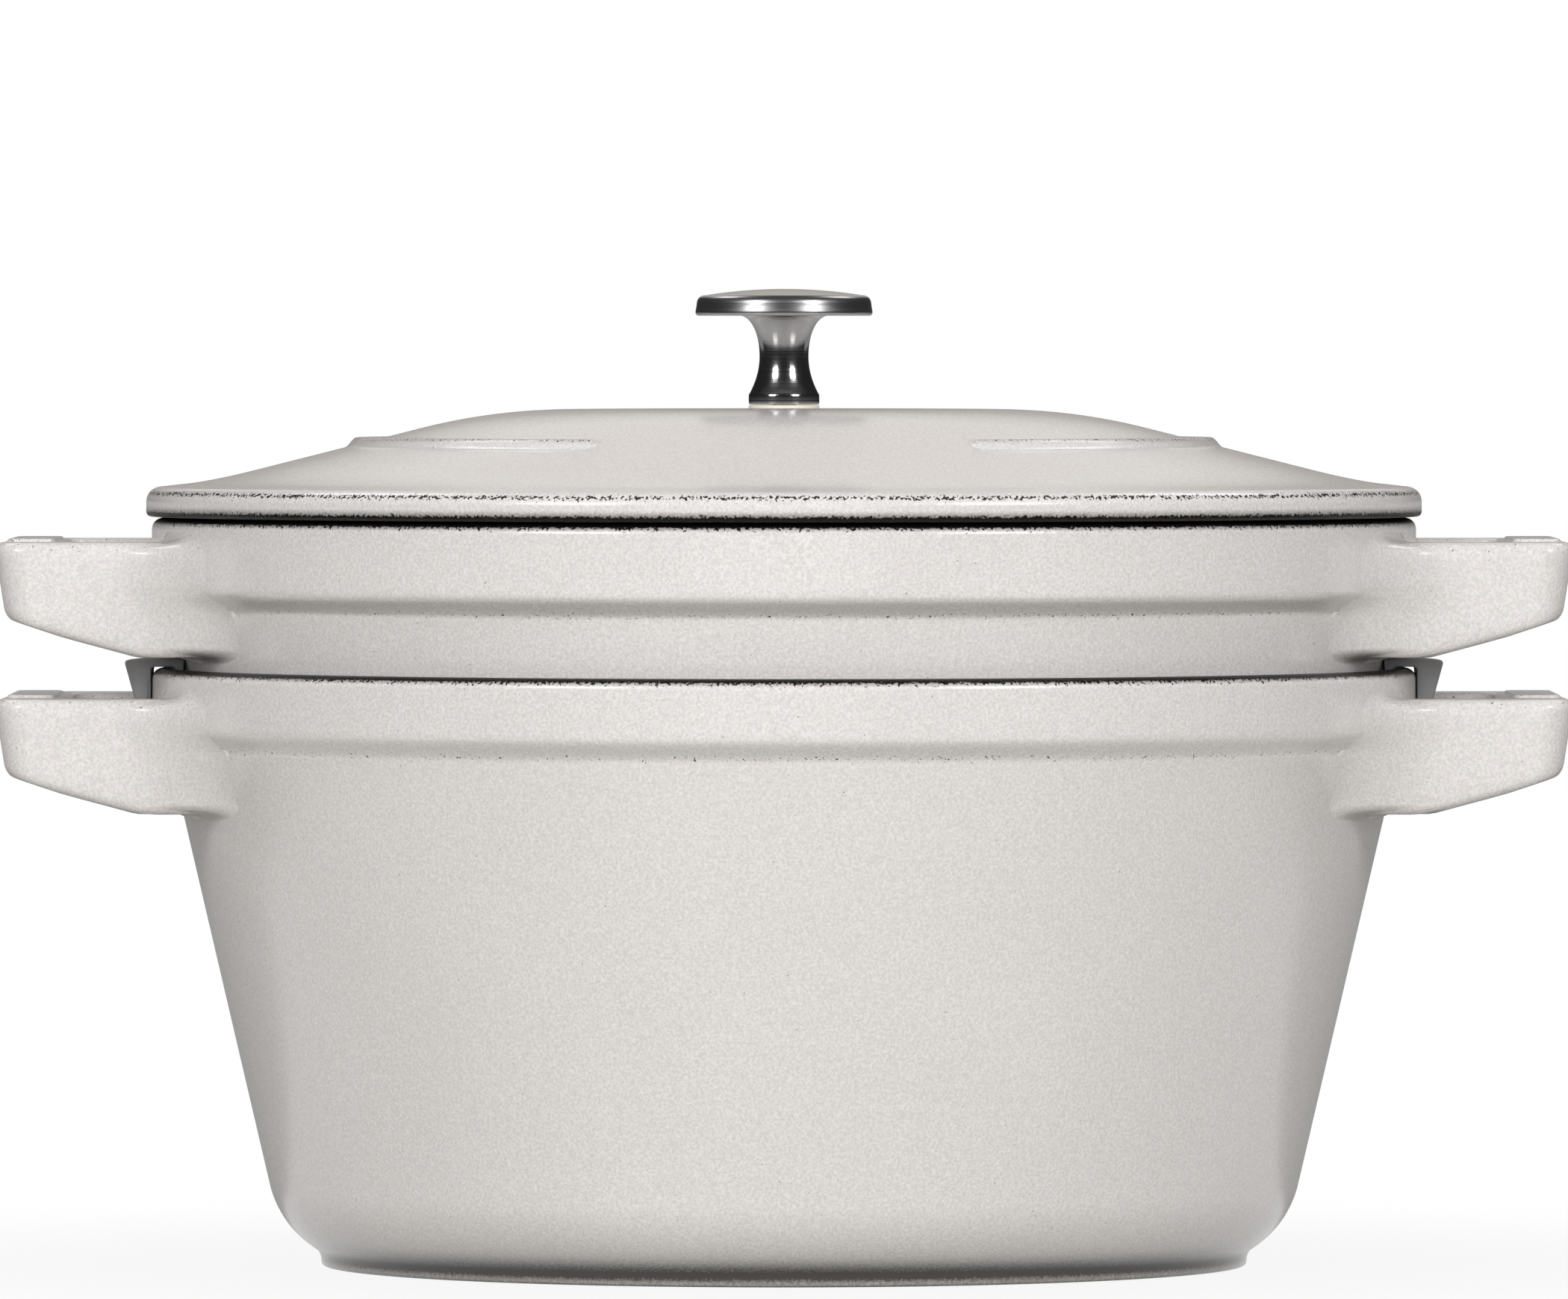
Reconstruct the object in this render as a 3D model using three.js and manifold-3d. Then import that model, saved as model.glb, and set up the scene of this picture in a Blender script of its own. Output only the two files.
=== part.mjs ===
// A stacking set of enamelled cast-iron cookware: a deep dutch oven, a shallow braiser that nests in
// its mouth on two silicone rim clips, and a lid with a turned steel knob that closes either vessel.
// Millimetres, +Z up. The origin is the middle of the set's foot, and the handles lie along X.
import * as THREE from 'three';
import { mergeVertices } from 'three/addons/utils/BufferGeometryUtils.js';
import Module from 'manifold-3d';

const wasm = await Module();
wasm.setup();

// Fits and facets
const FIT_GAP = 0.3;
const SEAT_GAP = 0.1;
const ROUND_STEPS = 48;
const KNOB_STEPS = 24;
const FASTENER_STEPS = 16;
const CORNER_STEPS = 5;
const EDGE_STEPS = 2;
const ARC_HALF_STEPS = 3;
const MERGE_DISTANCE = 1e-4;

// Castings: what both vessels share
const RIM_RADIUS = 134;
const WALL = 4.5;
const FLOOR = 5;
const DRAFT = THREE.MathUtils.degToRad(13.1);
const STEP_RISE = 5.5;
const INNER_STEP_DROP = 2.2;
const RIM_OUTER_ROUND = 2.4;
const RIM_INNER_ROUND = 1.4;
const FOOT_HEIGHT = 3.6;
const FOOT_RECESS = 1.2;
const FOOT_WIDTH = 8;
const FOOT_EDGE = 0.9;
const FOOT_GROOVE = 1.2;
const CORNER_END = THREE.MathUtils.degToRad(58);

// Deep dutch oven
const POT_HEIGHT = 126.7;
const POT_BAND_HEIGHT = 14.9;
const POT_BAND_STEP = 2.9;
const POT_CORNER = 22;
const POT_INNER_CORNER = 20;
const POT_HANDLE_DROP = 5.9;

// Shallow braiser
const BRAISER_HEIGHT = 50.9;
const BRAISER_BAND_HEIGHT = 17.4;
const BRAISER_CORNER = 17;
const BRAISER_INNER_CORNER = 14;
const BRAISER_HANDLE_DROP = 4.8;

// Loop handles, cast in one with the vessels
const HANDLE_REACH = 32;
const HANDLE_HALF_WIDTH = 46;
const HANDLE_BAR = 14.6;
const HANDLE_ARM = 13.5;
const HANDLE_ROOT_HEIGHT = 24.2;
const HANDLE_END_HEIGHT = 16;
const HANDLE_END_DRAFT = THREE.MathUtils.degToRad(9);
const HANDLE_CORNER = 7;
const HANDLE_FLARE = 14;
const HANDLE_EDGE = 2;
const HANDLE_ROOT_FLAT = 1.5;
const HOLE_CORNER = 6;
const WEB_SETBACK = 0.4;
const PAD_HEIGHT = 0.6;
const PAD_MARGIN = 2.2;
const PAD_LENGTH = 52;
const PAD_CORNER = 3;

// Silicone rim clips
const CLIP_LENGTH = 20;
const CLIP_BRIDGE = 2.2;
const CLIP_NOSE_DROP = 0.6;
const CLIP_EDGE_DROP = 1;
const CLIP_TONGUE = 1.6;
const CLIP_NOSE = 0.4;
const CLIP_LEG_TOP = 5.6;
const CLIP_LEG_TIP = 1.4;
const CLIP_LEG_DROP = 13.6;
const CLIP_TAPER = 1.6;
const CLIP_CORNER = 4.5;
const CLIP_EDGE = 0.4;
const CLIP_STEPS = 5;
const NEST_GAP = 1;

// Lid
const FLANGE_OVERHANG = 1.2;
const FLANGE_EDGE_HEIGHT = 4.4;
const FLANGE_ROUND = 1.9;
const FLANGE_FOOT = 0.6;
const FLANGE_WIDTH = 13.2;
const FLANGE_RISE = 1;
const SHOULDER_BLEND = 7;
const LID_SLOPE = THREE.MathUtils.degToRad(14.2);
const LID_CROWN = 130;
const LID_PLATEAU = 45;
const LID_WALL = 4.5;
const LIP_GAP = 1;
const LIP_DEPTH = 6;
const LIP_TAPER = 1.3;
const LIP_WIDTH = 4.5;
const LIP_ROUND = 1.6;
const RIB_RADIUS = 90.2;
const RIB_WIDTH = 5.5;
const RIB_HEIGHT = 1.4;
const RIB_BURY = 1.5;
const RIB_GAP_HALF = THREE.MathUtils.degToRad(26);
const RIB_STEPS = 7;

// Knob and what fastens it
const KNOB_HEIGHT = 24.5;
const KNOB_BASE_RADIUS = 7.5;
const KNOB_BASE_HEIGHT = 2;
const KNOB_NECK_RADIUS = 5.2;
const KNOB_WAIST_HEIGHT = 10.2;
const KNOB_NECK_FLARE = 2.6;
const KNOB_CAP_RADIUS = 18.8;
const KNOB_CAP_LEAN = 1;
const KNOB_CAP_EDGE = 0.6;
const KNOB_SHOULDER = 1.2;
const KNOB_CROWN = 1.1;
const KNOB_CAP_THICKNESS = 5.7;
const GASKET_THICKNESS = 0.8;
const SCREW_RADIUS = 2.5;
const SCREW_GRIP = 12;
const SCREW_TIP_ROOM = 1;
const SCREW_HEAD_RADIUS = 5;
const SCREW_HEAD_HEIGHT = 3;
const SCREW_SLOT_WIDTH = 1.2;
const SCREW_SLOT_DEPTH = 1.4;
const WASHER_RADIUS = 7.5;
const WASHER_THICKNESS = 1.2;

// Finishes
const ENAMEL = { color: 0xcfccc6, roughness: 0.38, metalness: 0 };
const STEEL = { color: 0xc4c4c6, roughness: 0.2, metalness: 1 };
const SILICONE = { color: 0x85868a, roughness: 0.75, metalness: 0 };
const GASKET = { color: 0xe4ded0, roughness: 0.6, metalness: 0 };

// Sizes that follow from the fits above
const RIM_INNER = RIM_RADIUS - WALL;
const TONGUE_OUTER = RIM_INNER - FIT_GAP;
const NEST_RADIUS = TONGUE_OUTER - CLIP_TONGUE - NEST_GAP;
const CLIP_UNDER = POT_HEIGHT + FIT_GAP;
const CLIP_TOP = CLIP_UNDER + CLIP_BRIDGE;
const BRAISER_ROOT = BRAISER_HEIGHT - BRAISER_HANDLE_DROP - HANDLE_ROOT_HEIGHT;
const BRAISER_BASE = CLIP_TOP + FIT_GAP - BRAISER_ROOT;
const BRAISER_STEP_Z = BRAISER_HEIGHT - BRAISER_BAND_HEIGHT;
const NEST_Z = POT_HEIGHT - BRAISER_BASE;
const BRAISER_BAND_STEP = RIM_RADIUS - NEST_RADIUS - (BRAISER_STEP_Z - NEST_Z) * Math.tan(DRAFT);
const LID_BASE = BRAISER_BASE + BRAISER_HEIGHT + FIT_GAP;
const SHANK_HOLE = SCREW_RADIUS + FIT_GAP;

// Solids: a three.js geometry in, a closed manifold out, and back again

function toSolid(geometry) {
  geometry.deleteAttribute('normal');
  geometry.deleteAttribute('uv');
  const merged = mergeVertices(geometry, MERGE_DISTANCE);
  const index = merged.index.array;
  const triangles = [];
  for (let i = 0; i < index.length; i += 3) {
    const [a, b, c] = [index[i], index[i + 1], index[i + 2]];
    if (a !== b && b !== c && c !== a) triangles.push(a, b, c);
  }
  return new wasm.Manifold(new wasm.Mesh({
    numProp: 3,
    vertProperties: new Float32Array(merged.attributes.position.array),
    triVerts: new Uint32Array(triangles),
  }));
}

function toGeometry(solid) {
  const mesh = solid.getMesh();
  const geometry = new THREE.BufferGeometry();
  geometry.setAttribute('position', new THREE.BufferAttribute(mesh.vertProperties.slice(), 3));
  geometry.setIndex(new THREE.BufferAttribute(mesh.triVerts.slice(), 1));
  const faceted = geometry.toNonIndexed();
  faceted.computeVertexNormals();
  return faceted;
}

// Moves every point of a geometry by a rule
function warp(geometry, rule) {
  const position = geometry.attributes.position;
  const point = new THREE.Vector3();
  for (let i = 0; i < position.count; i++) {
    rule(point.fromBufferAttribute(position, i));
    position.setXYZ(i, point.x, point.y, point.z);
  }
  return geometry;
}

// A solid of revolution about Z from [radius, height] points that run up the outside
function revolve(points, steps) {
  const profile = points.map(([radius, height]) => new THREE.Vector2(radius, height));
  return toSolid(new THREE.LatheGeometry(profile, steps).rotateX(Math.PI / 2));
}

// Points of an arc in the profile plane, angles from the +radius axis
function arc(radius, height, size, start, end, steps) {
  return Array.from({ length: steps + 1 }, (_, i) => {
    const angle = start + (end - start) * i / steps;
    return [radius + size * Math.cos(angle), height + size * Math.sin(angle)];
  });
}

// The soft S between the tapered wall and the band above it
function softStep(lowRadius, highRadius, lowHeight, rise) {
  const stations = [0, 0.3, 0.5, 0.7, 1];
  return stations.map((t) => {
    const share = t * t * (3 - 2 * t);
    return [lowRadius + (highRadius - lowRadius) * share, lowHeight + rise * t];
  });
}

// Vessels

function vesselOutside({ height, bandHeight, bandStep, corner }) {
  const stepZ = height - bandHeight;
  const wallAt = (z) => RIM_RADIUS - bandStep - (stepZ - z) * Math.tan(DRAFT);
  const tangentZ = FOOT_HEIGHT + corner * (Math.sin(CORNER_END) - Math.sin(DRAFT));
  const centreRadius = wallAt(tangentZ) - corner * Math.cos(DRAFT);
  const centreZ = tangentZ + corner * Math.sin(DRAFT);
  const bend = arc(centreRadius, centreZ, corner, -CORNER_END, -DRAFT, CORNER_STEPS);
  const foot = bend[0][0] - FOOT_GROOVE;
  const stepLow = stepZ - STEP_RISE / 2;
  return [
    [0, FOOT_RECESS],
    [foot - FOOT_WIDTH, FOOT_RECESS],
    [foot - FOOT_WIDTH + FOOT_EDGE, 0],
    [foot - FOOT_EDGE, 0],
    [foot, FOOT_EDGE],
    [foot, FOOT_HEIGHT - FOOT_EDGE],
    ...bend,
    ...softStep(wallAt(stepLow), RIM_RADIUS, stepLow, STEP_RISE),
    ...arc(RIM_RADIUS - RIM_OUTER_ROUND, height - RIM_OUTER_ROUND, RIM_OUTER_ROUND, 0, Math.PI / 2, EDGE_STEPS + 1),
    [0, height],
  ];
}

function vesselInside({ height, bandHeight, bandStep, innerCorner }) {
  const stepZ = height - bandHeight;
  const thickness = WALL / Math.cos(DRAFT);
  const wallAt = (z) => RIM_RADIUS - bandStep - thickness - (stepZ - z) * Math.tan(DRAFT);
  const floorZ = FOOT_RECESS + FLOOR;
  const centreZ = floorZ + innerCorner;
  const tangentZ = centreZ - innerCorner * Math.sin(DRAFT);
  const centreRadius = wallAt(tangentZ) - innerCorner * Math.cos(DRAFT);
  const stepLow = stepZ - STEP_RISE / 2 - INNER_STEP_DROP;
  const mouth = RIM_INNER + RIM_INNER_ROUND;
  return [
    [0, floorZ],
    ...arc(centreRadius, centreZ, innerCorner, -Math.PI / 2, -DRAFT, CORNER_STEPS),
    ...softStep(wallAt(stepLow), RIM_INNER, stepLow, STEP_RISE),
    ...arc(mouth, height - RIM_INNER_ROUND, RIM_INNER_ROUND, Math.PI, Math.PI / 2, EDGE_STEPS),
    [mouth, height + WALL],
    [0, height + WALL],
  ];
}

// Handles

// Plan outline of a handle on +X: concave flares off the wall, two straight arms and a cross bar
function handlePlan(wallRadius) {
  const end = RIM_RADIUS + HANDLE_REACH;
  const side = HANDLE_HALF_WIDTH;
  const flareY = side + HANDLE_FLARE;
  const flareReach = wallRadius + HANDLE_FLARE;
  const flareX = Math.sqrt(flareReach ** 2 - flareY ** 2);
  const flareAngle = Math.atan2(flareY, flareX);
  const bury = wallRadius - 2 * WALL;
  const buryX = bury * Math.cos(flareAngle);
  const buryY = bury * Math.sin(flareAngle);
  const plan = new THREE.Shape();
  plan.moveTo(buryX, buryY);
  plan.lineTo(buryX, -buryY);
  plan.absarc(flareX, -flareY, HANDLE_FLARE, Math.PI - flareAngle, Math.PI / 2, true);
  plan.absarc(end - HANDLE_CORNER, -side + HANDLE_CORNER, HANDLE_CORNER, -Math.PI / 2, 0, false);
  plan.absarc(end - HANDLE_CORNER, side - HANDLE_CORNER, HANDLE_CORNER, 0, Math.PI / 2, false);
  plan.absarc(flareX, flareY, HANDLE_FLARE, -Math.PI / 2, flareAngle - Math.PI, true);
  plan.holes.push(fingerHole(end - HANDLE_BAR, side - HANDLE_ARM));
  return plan;
}

// The finger opening: a round-cornered slot whose inner edge follows the rim's band
function fingerHole(far, half) {
  const near = RIM_RADIUS - WEB_SETBACK;
  const edgeAngle = Math.asin(half / near);
  const hole = new THREE.Path();
  hole.absarc(0, 0, near, -edgeAngle, edgeAngle, false);
  hole.absarc(far - HOLE_CORNER, half - HOLE_CORNER, HOLE_CORNER, Math.PI / 2, 0, true);
  hole.absarc(far - HOLE_CORNER, -half + HOLE_CORNER, HOLE_CORNER, 0, -Math.PI / 2, true);
  return hole;
}

// One handle on +X with its flat top at topZ: the underside rises outwards and the end face drafts in
function handleSolid(topZ, wallRadius) {
  const end = RIM_RADIUS + HANDLE_REACH;
  const rootX = RIM_RADIUS + HANDLE_ROOT_FLAT;
  const rise = (HANDLE_ROOT_HEIGHT - HANDLE_END_HEIGHT) / (end - rootX);
  const body = HANDLE_ROOT_HEIGHT - 2 * HANDLE_EDGE;
  const geometry = new THREE.ExtrudeGeometry(handlePlan(wallRadius), {
    depth: body,
    curveSegments: ARC_HALF_STEPS,
    bevelThickness: HANDLE_EDGE,
    bevelSize: HANDLE_EDGE,
    bevelOffset: -HANDLE_EDGE,
    bevelSegments: EDGE_STEPS,
  });
  warp(geometry, (point) => {
    const depthShare = 1 - (point.z + HANDLE_EDGE) / HANDLE_ROOT_HEIGHT;
    const drop = depthShare * (HANDLE_ROOT_HEIGHT - (point.x - rootX) * rise);
    const endShare = THREE.MathUtils.clamp((point.x - end + HANDLE_BAR) / HANDLE_BAR, 0, 1);
    point.x -= endShare * drop * Math.tan(HANDLE_END_DRAFT);
    point.z = topZ - drop;
  });
  const under = new THREE.BoxGeometry(2 * HANDLE_REACH, 4 * HANDLE_HALF_WIDTH, HANDLE_ROOT_HEIGHT);
  under.translate(rootX - HANDLE_REACH, 0, topZ - 1.5 * HANDLE_ROOT_HEIGHT);
  return toSolid(geometry).subtract(toSolid(under)).add(handlePad(topZ, end));
}

// The plain raised panel on top of a handle's cross bar
function handlePad(topZ, end) {
  const bury = HANDLE_EDGE;
  const far = end - PAD_MARGIN;
  const near = end - HANDLE_BAR + PAD_MARGIN;
  const half = PAD_LENGTH / 2;
  const panel = new THREE.Shape();
  panel.absarc(far - PAD_CORNER, -half + PAD_CORNER, PAD_CORNER, -Math.PI / 2, 0, false);
  panel.absarc(far - PAD_CORNER, half - PAD_CORNER, PAD_CORNER, 0, Math.PI / 2, false);
  panel.absarc(near + PAD_CORNER, half - PAD_CORNER, PAD_CORNER, Math.PI / 2, Math.PI, false);
  panel.absarc(near + PAD_CORNER, -half + PAD_CORNER, PAD_CORNER, Math.PI, 1.5 * Math.PI, false);
  const geometry = new THREE.ExtrudeGeometry(panel, {
    depth: bury,
    curveSegments: EDGE_STEPS,
    bevelThickness: PAD_HEIGHT,
    bevelSize: PAD_HEIGHT,
    bevelOffset: -PAD_HEIGHT,
    bevelSegments: 1,
  });
  return toSolid(geometry.translate(0, 0, topZ - bury));
}

// A vessel with its foot on z = 0: the revolved outside joined to two handles, then hollowed out
function vessel(sizes) {
  const stepZ = sizes.height - sizes.bandHeight;
  const topZ = sizes.height - sizes.handleDrop;
  const wallMiddle = topZ - HANDLE_ROOT_HEIGHT / 2;
  const wallRadius = RIM_RADIUS - sizes.bandStep - (stepZ - wallMiddle) * Math.tan(DRAFT);
  const right = handleSolid(topZ, wallRadius);
  const left = right.rotate([0, 0, 180]);
  const outside = revolve(vesselOutside(sizes), ROUND_STEPS);
  return outside.add(right).add(left).subtract(revolve(vesselInside(sizes), ROUND_STEPS));
}

const potSizes = {
  height: POT_HEIGHT,
  bandHeight: POT_BAND_HEIGHT,
  bandStep: POT_BAND_STEP,
  corner: POT_CORNER,
  innerCorner: POT_INNER_CORNER,
  handleDrop: POT_HANDLE_DROP,
};

const braiserSizes = {
  height: BRAISER_HEIGHT,
  bandHeight: BRAISER_BAND_HEIGHT,
  bandStep: BRAISER_BAND_STEP,
  corner: BRAISER_CORNER,
  innerCorner: BRAISER_INNER_CORNER,
  handleDrop: BRAISER_HANDLE_DROP,
};

// Rim clip on +X: a saddle section carried along the rim, with its legs rounded off at the tips
function rimClip() {
  const rimMiddle = RIM_RADIUS - WALL / 2;
  const legInner = RIM_RADIUS + FIT_GAP;
  const legOuter = legInner + CLIP_LEG_TOP;
  const tongueInner = TONGUE_OUTER - CLIP_TONGUE;
  const tipZ = POT_HEIGHT - CLIP_LEG_DROP;
  const section = new THREE.Shape();
  section.moveTo(tongueInner, tipZ);
  section.lineTo(TONGUE_OUTER, tipZ);
  section.lineTo(TONGUE_OUTER, CLIP_UNDER);
  section.lineTo(legInner, CLIP_UNDER);
  section.lineTo(legInner, tipZ);
  section.lineTo(legInner + CLIP_LEG_TIP, tipZ);
  section.lineTo(legOuter, CLIP_TOP - CLIP_EDGE_DROP);
  section.quadraticCurveTo(legInner, CLIP_TOP, rimMiddle, CLIP_TOP);
  section.quadraticCurveTo(tongueInner, CLIP_TOP, tongueInner - CLIP_NOSE, CLIP_TOP - CLIP_NOSE_DROP);
  section.lineTo(tongueInner, CLIP_UNDER - CLIP_BRIDGE);
  section.closePath();
  const geometry = new THREE.ExtrudeGeometry(section, {
    depth: CLIP_LENGTH - 2 * CLIP_EDGE,
    steps: CLIP_STEPS,
    curveSegments: CORNER_STEPS,
    bevelThickness: CLIP_EDGE,
    bevelSize: CLIP_EDGE,
    bevelOffset: -CLIP_EDGE,
    bevelSegments: 1,
  });
  warp(geometry, (point) => {
    const radius = point.x;
    const height = point.y;
    const angle = (CLIP_LENGTH / 2 - CLIP_EDGE - point.z) / rimMiddle;
    point.set(radius * Math.cos(angle), radius * Math.sin(angle), height);
  });
  return toSolid(geometry).intersect(clipFront(tipZ, rimMiddle));
}

// The clip's outline seen along its radius: straight top, tapering sides and round lower corners
function clipFront(tipZ, rimMiddle) {
  const half = CLIP_LENGTH;
  const topHalf = CLIP_LENGTH / 2 + CLIP_EDGE;
  const tipHalf = CLIP_LENGTH / 2 - CLIP_TAPER;
  const front = new THREE.Shape();
  front.moveTo(-half, CLIP_TOP + CLIP_BRIDGE);
  front.lineTo(-half, CLIP_UNDER);
  front.lineTo(-topHalf, CLIP_UNDER - CLIP_BRIDGE);
  front.lineTo(-tipHalf, tipZ + CLIP_CORNER);
  front.quadraticCurveTo(-tipHalf, tipZ, CLIP_CORNER - tipHalf, tipZ);
  front.lineTo(tipHalf - CLIP_CORNER, tipZ);
  front.quadraticCurveTo(tipHalf, tipZ, tipHalf, tipZ + CLIP_CORNER);
  front.lineTo(topHalf, CLIP_UNDER - CLIP_BRIDGE);
  front.lineTo(half, CLIP_UNDER);
  front.lineTo(half, CLIP_TOP + CLIP_BRIDGE);
  front.closePath();
  const geometry = new THREE.ExtrudeGeometry(front, {
    depth: 2 * CLIP_LENGTH,
    curveSegments: CORNER_STEPS,
    bevelEnabled: false,
  });
  geometry.rotateX(Math.PI / 2);
  geometry.rotateZ(Math.PI / 2);
  return toSolid(geometry.translate(rimMiddle - CLIP_LENGTH, 0, 0));
}

// Lid, with the flange's underside on z = 0

const FLANGE_RADIUS = RIM_RADIUS + FLANGE_OVERHANG;
const SHOULDER_RADIUS = FLANGE_RADIUS - FLANGE_WIDTH;
const SHOULDER_Z = FLANGE_EDGE_HEIGHT + FLANGE_ROUND + FLANGE_RISE;
const CROWN_RADIUS = LID_PLATEAU + LID_CROWN * Math.sin(LID_SLOPE);
const CROWN_Z = SHOULDER_Z + (SHOULDER_RADIUS - CROWN_RADIUS) * Math.tan(LID_SLOPE);
const PLATEAU_Z = CROWN_Z + LID_CROWN * (1 - Math.cos(LID_SLOPE));
const LIP_RADIUS = RIM_INNER - LIP_GAP;

// The soft hollow where the lid's slope runs out into its flange
function lidShoulder() {
  const flangeSlope = FLANGE_RISE / (FLANGE_WIDTH - FLANGE_ROUND);
  const corner = new THREE.Vector2(SHOULDER_RADIUS, SHOULDER_Z);
  const outer = new THREE.Vector2(SHOULDER_BLEND, -SHOULDER_BLEND * flangeSlope).add(corner);
  const inner = new THREE.Vector2(-SHOULDER_BLEND, SHOULDER_BLEND * Math.tan(LID_SLOPE)).add(corner);
  const hollow = new THREE.QuadraticBezierCurve(outer, corner, inner);
  return hollow.getPoints(EDGE_STEPS + 1).map((point) => [point.x, point.y]);
}

// Height of the lid's sloping top at a radius between the shoulder and the crown
function lidSlopeZ(radius) {
  return SHOULDER_Z + (SHOULDER_RADIUS - radius) * Math.tan(LID_SLOPE);
}

function lidCover() {
  const crownTop = PLATEAU_Z - LID_CROWN;
  const underCrown = LID_CROWN - LID_WALL;
  const slopeStart = Math.PI / 2 - LID_SLOPE;
  const lipInner = LIP_RADIUS - LIP_TAPER - LIP_WIDTH;
  const rootInner = SHOULDER_RADIUS - LID_WALL * Math.sin(LID_SLOPE);
  const rootZ = SHOULDER_Z - LID_WALL * Math.cos(LID_SLOPE);
  const bottom = -LIP_DEPTH;
  const tip = LIP_RADIUS - LIP_TAPER;
  const plate = revolve([
    [SHANK_HOLE, PLATEAU_Z - LID_WALL],
    ...arc(LID_PLATEAU, crownTop, underCrown, Math.PI / 2, slopeStart, CORNER_STEPS),
    [rootInner, rootZ],
    [lipInner, bottom + LIP_ROUND],
    [lipInner + LIP_ROUND, bottom],
    ...arc(tip - LIP_ROUND, bottom + LIP_ROUND, LIP_ROUND, -Math.PI / 2, 0, EDGE_STEPS),
    [LIP_RADIUS, 0],
    [FLANGE_RADIUS - FLANGE_FOOT, 0],
    [FLANGE_RADIUS, FLANGE_FOOT],
    ...arc(FLANGE_RADIUS - FLANGE_ROUND, FLANGE_EDGE_HEIGHT, FLANGE_ROUND, 0, Math.PI / 2, EDGE_STEPS + 1),
    ...lidShoulder(),
    ...arc(LID_PLATEAU, crownTop, LID_CROWN, slopeStart, Math.PI / 2, CORNER_STEPS),
    [SHANK_HOLE, PLATEAU_Z],
    [SHANK_HOLE, PLATEAU_Z - LID_WALL],
  ], ROUND_STEPS);
  const rib = lidRib();
  return plate.add(rib).add(rib.rotate([0, 0, 180]));
}

// One of the two raised arcs on the lid: a flat ring sector laid on the slope, with a soft upper edge
function lidRib() {
  const inner = RIB_RADIUS - RIB_WIDTH / 2;
  const outer = RIB_RADIUS + RIB_WIDTH / 2;
  const start = -Math.PI / 2 + RIB_GAP_HALF;
  const sector = new THREE.Shape();
  sector.absarc(0, 0, outer, start, -start, false);
  sector.absarc(0, 0, inner, -start, start, true);
  sector.closePath();
  const geometry = new THREE.ExtrudeGeometry(sector, {
    depth: RIB_BURY,
    curveSegments: RIB_STEPS,
    bevelThickness: RIB_HEIGHT,
    bevelSize: RIB_HEIGHT,
    bevelOffset: -RIB_HEIGHT,
    bevelSegments: EDGE_STEPS,
  });
  warp(geometry, (point) => {
    point.z += lidSlopeZ(Math.hypot(point.x, point.y)) - RIB_BURY;
  });
  return toSolid(geometry);
}

// Knob and fasteners, on the lid's plateau

const GASKET_Z = PLATEAU_Z + SEAT_GAP;
const KNOB_Z = GASKET_Z + GASKET_THICKNESS + SEAT_GAP;
const WASHER_Z = PLATEAU_Z - LID_WALL - SEAT_GAP - WASHER_THICKNESS;
const HEAD_Z = WASHER_Z - SEAT_GAP;

// A turned knob: base ring, waisted neck that flares under the cap, leaning side and a crowned top
function lidKnob() {
  const boreTop = SCREW_GRIP + SCREW_TIP_ROOM;
  const capUnder = KNOB_HEIGHT - KNOB_CAP_THICKNESS;
  const crownBase = KNOB_HEIGHT - KNOB_CROWN;
  const shoulder = KNOB_CAP_RADIUS - KNOB_CAP_LEAN;
  const crownRadius = shoulder - KNOB_SHOULDER;
  const lowerNeck = [1, 0.7, 0.35, 0].map((share) => [
    KNOB_NECK_RADIUS + (KNOB_BASE_RADIUS - KNOB_NECK_RADIUS) * share * share,
    KNOB_WAIST_HEIGHT - (KNOB_WAIST_HEIGHT - KNOB_BASE_HEIGHT) * share,
  ]);
  const upperNeck = [0.5, 0.8, 0.95, 1].map((share) => [
    KNOB_NECK_RADIUS + KNOB_NECK_FLARE * (1 - Math.sqrt(1 - share * share)),
    KNOB_WAIST_HEIGHT + (capUnder - KNOB_WAIST_HEIGHT) * share,
  ]);
  const crown = [1, 0.75, 0.5, 0.25].map((share) => [
    crownRadius * share,
    crownBase + KNOB_CROWN * (1 - share * share),
  ]);
  return revolve([
    [0, boreTop],
    [SHANK_HOLE, boreTop],
    [SHANK_HOLE, 0],
    [KNOB_BASE_RADIUS, 0],
    ...lowerNeck,
    ...upperNeck,
    [KNOB_CAP_RADIUS - KNOB_CAP_EDGE, capUnder],
    [KNOB_CAP_RADIUS, capUnder + KNOB_CAP_EDGE],
    [shoulder, crownBase - KNOB_SHOULDER],
    [shoulder - KNOB_SHOULDER / 3, crownBase - KNOB_SHOULDER / 3],
    ...crown,
    [0, KNOB_HEIGHT],
  ], KNOB_STEPS);
}

// A flat ring standing on z = 0
function ring(innerRadius, outerRadius, thickness) {
  return revolve([
    [innerRadius, 0],
    [outerRadius, 0],
    [outerRadius, thickness],
    [innerRadius, thickness],
    [innerRadius, 0],
  ], FASTENER_STEPS);
}

// A slotted pan-head screw, head down, with its bearing face on z = 0
function knobScrew() {
  const shank = KNOB_Z - HEAD_Z + SCREW_GRIP;
  const round = SCREW_HEAD_HEIGHT / 2;
  const screw = revolve([
    [0, -SCREW_HEAD_HEIGHT],
    ...arc(SCREW_HEAD_RADIUS - round, -round, round, -Math.PI / 2, 0, EDGE_STEPS),
    [SCREW_HEAD_RADIUS, 0],
    [SCREW_RADIUS, 0],
    [SCREW_RADIUS, shank],
    [0, shank],
  ], FASTENER_STEPS);
  const slot = new THREE.BoxGeometry(SCREW_SLOT_WIDTH, 4 * SCREW_HEAD_RADIUS, 2 * SCREW_SLOT_DEPTH);
  return screw.subtract(toSolid(slot.translate(0, 0, -SCREW_HEAD_HEIGHT)));
}

// Assembly

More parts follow.
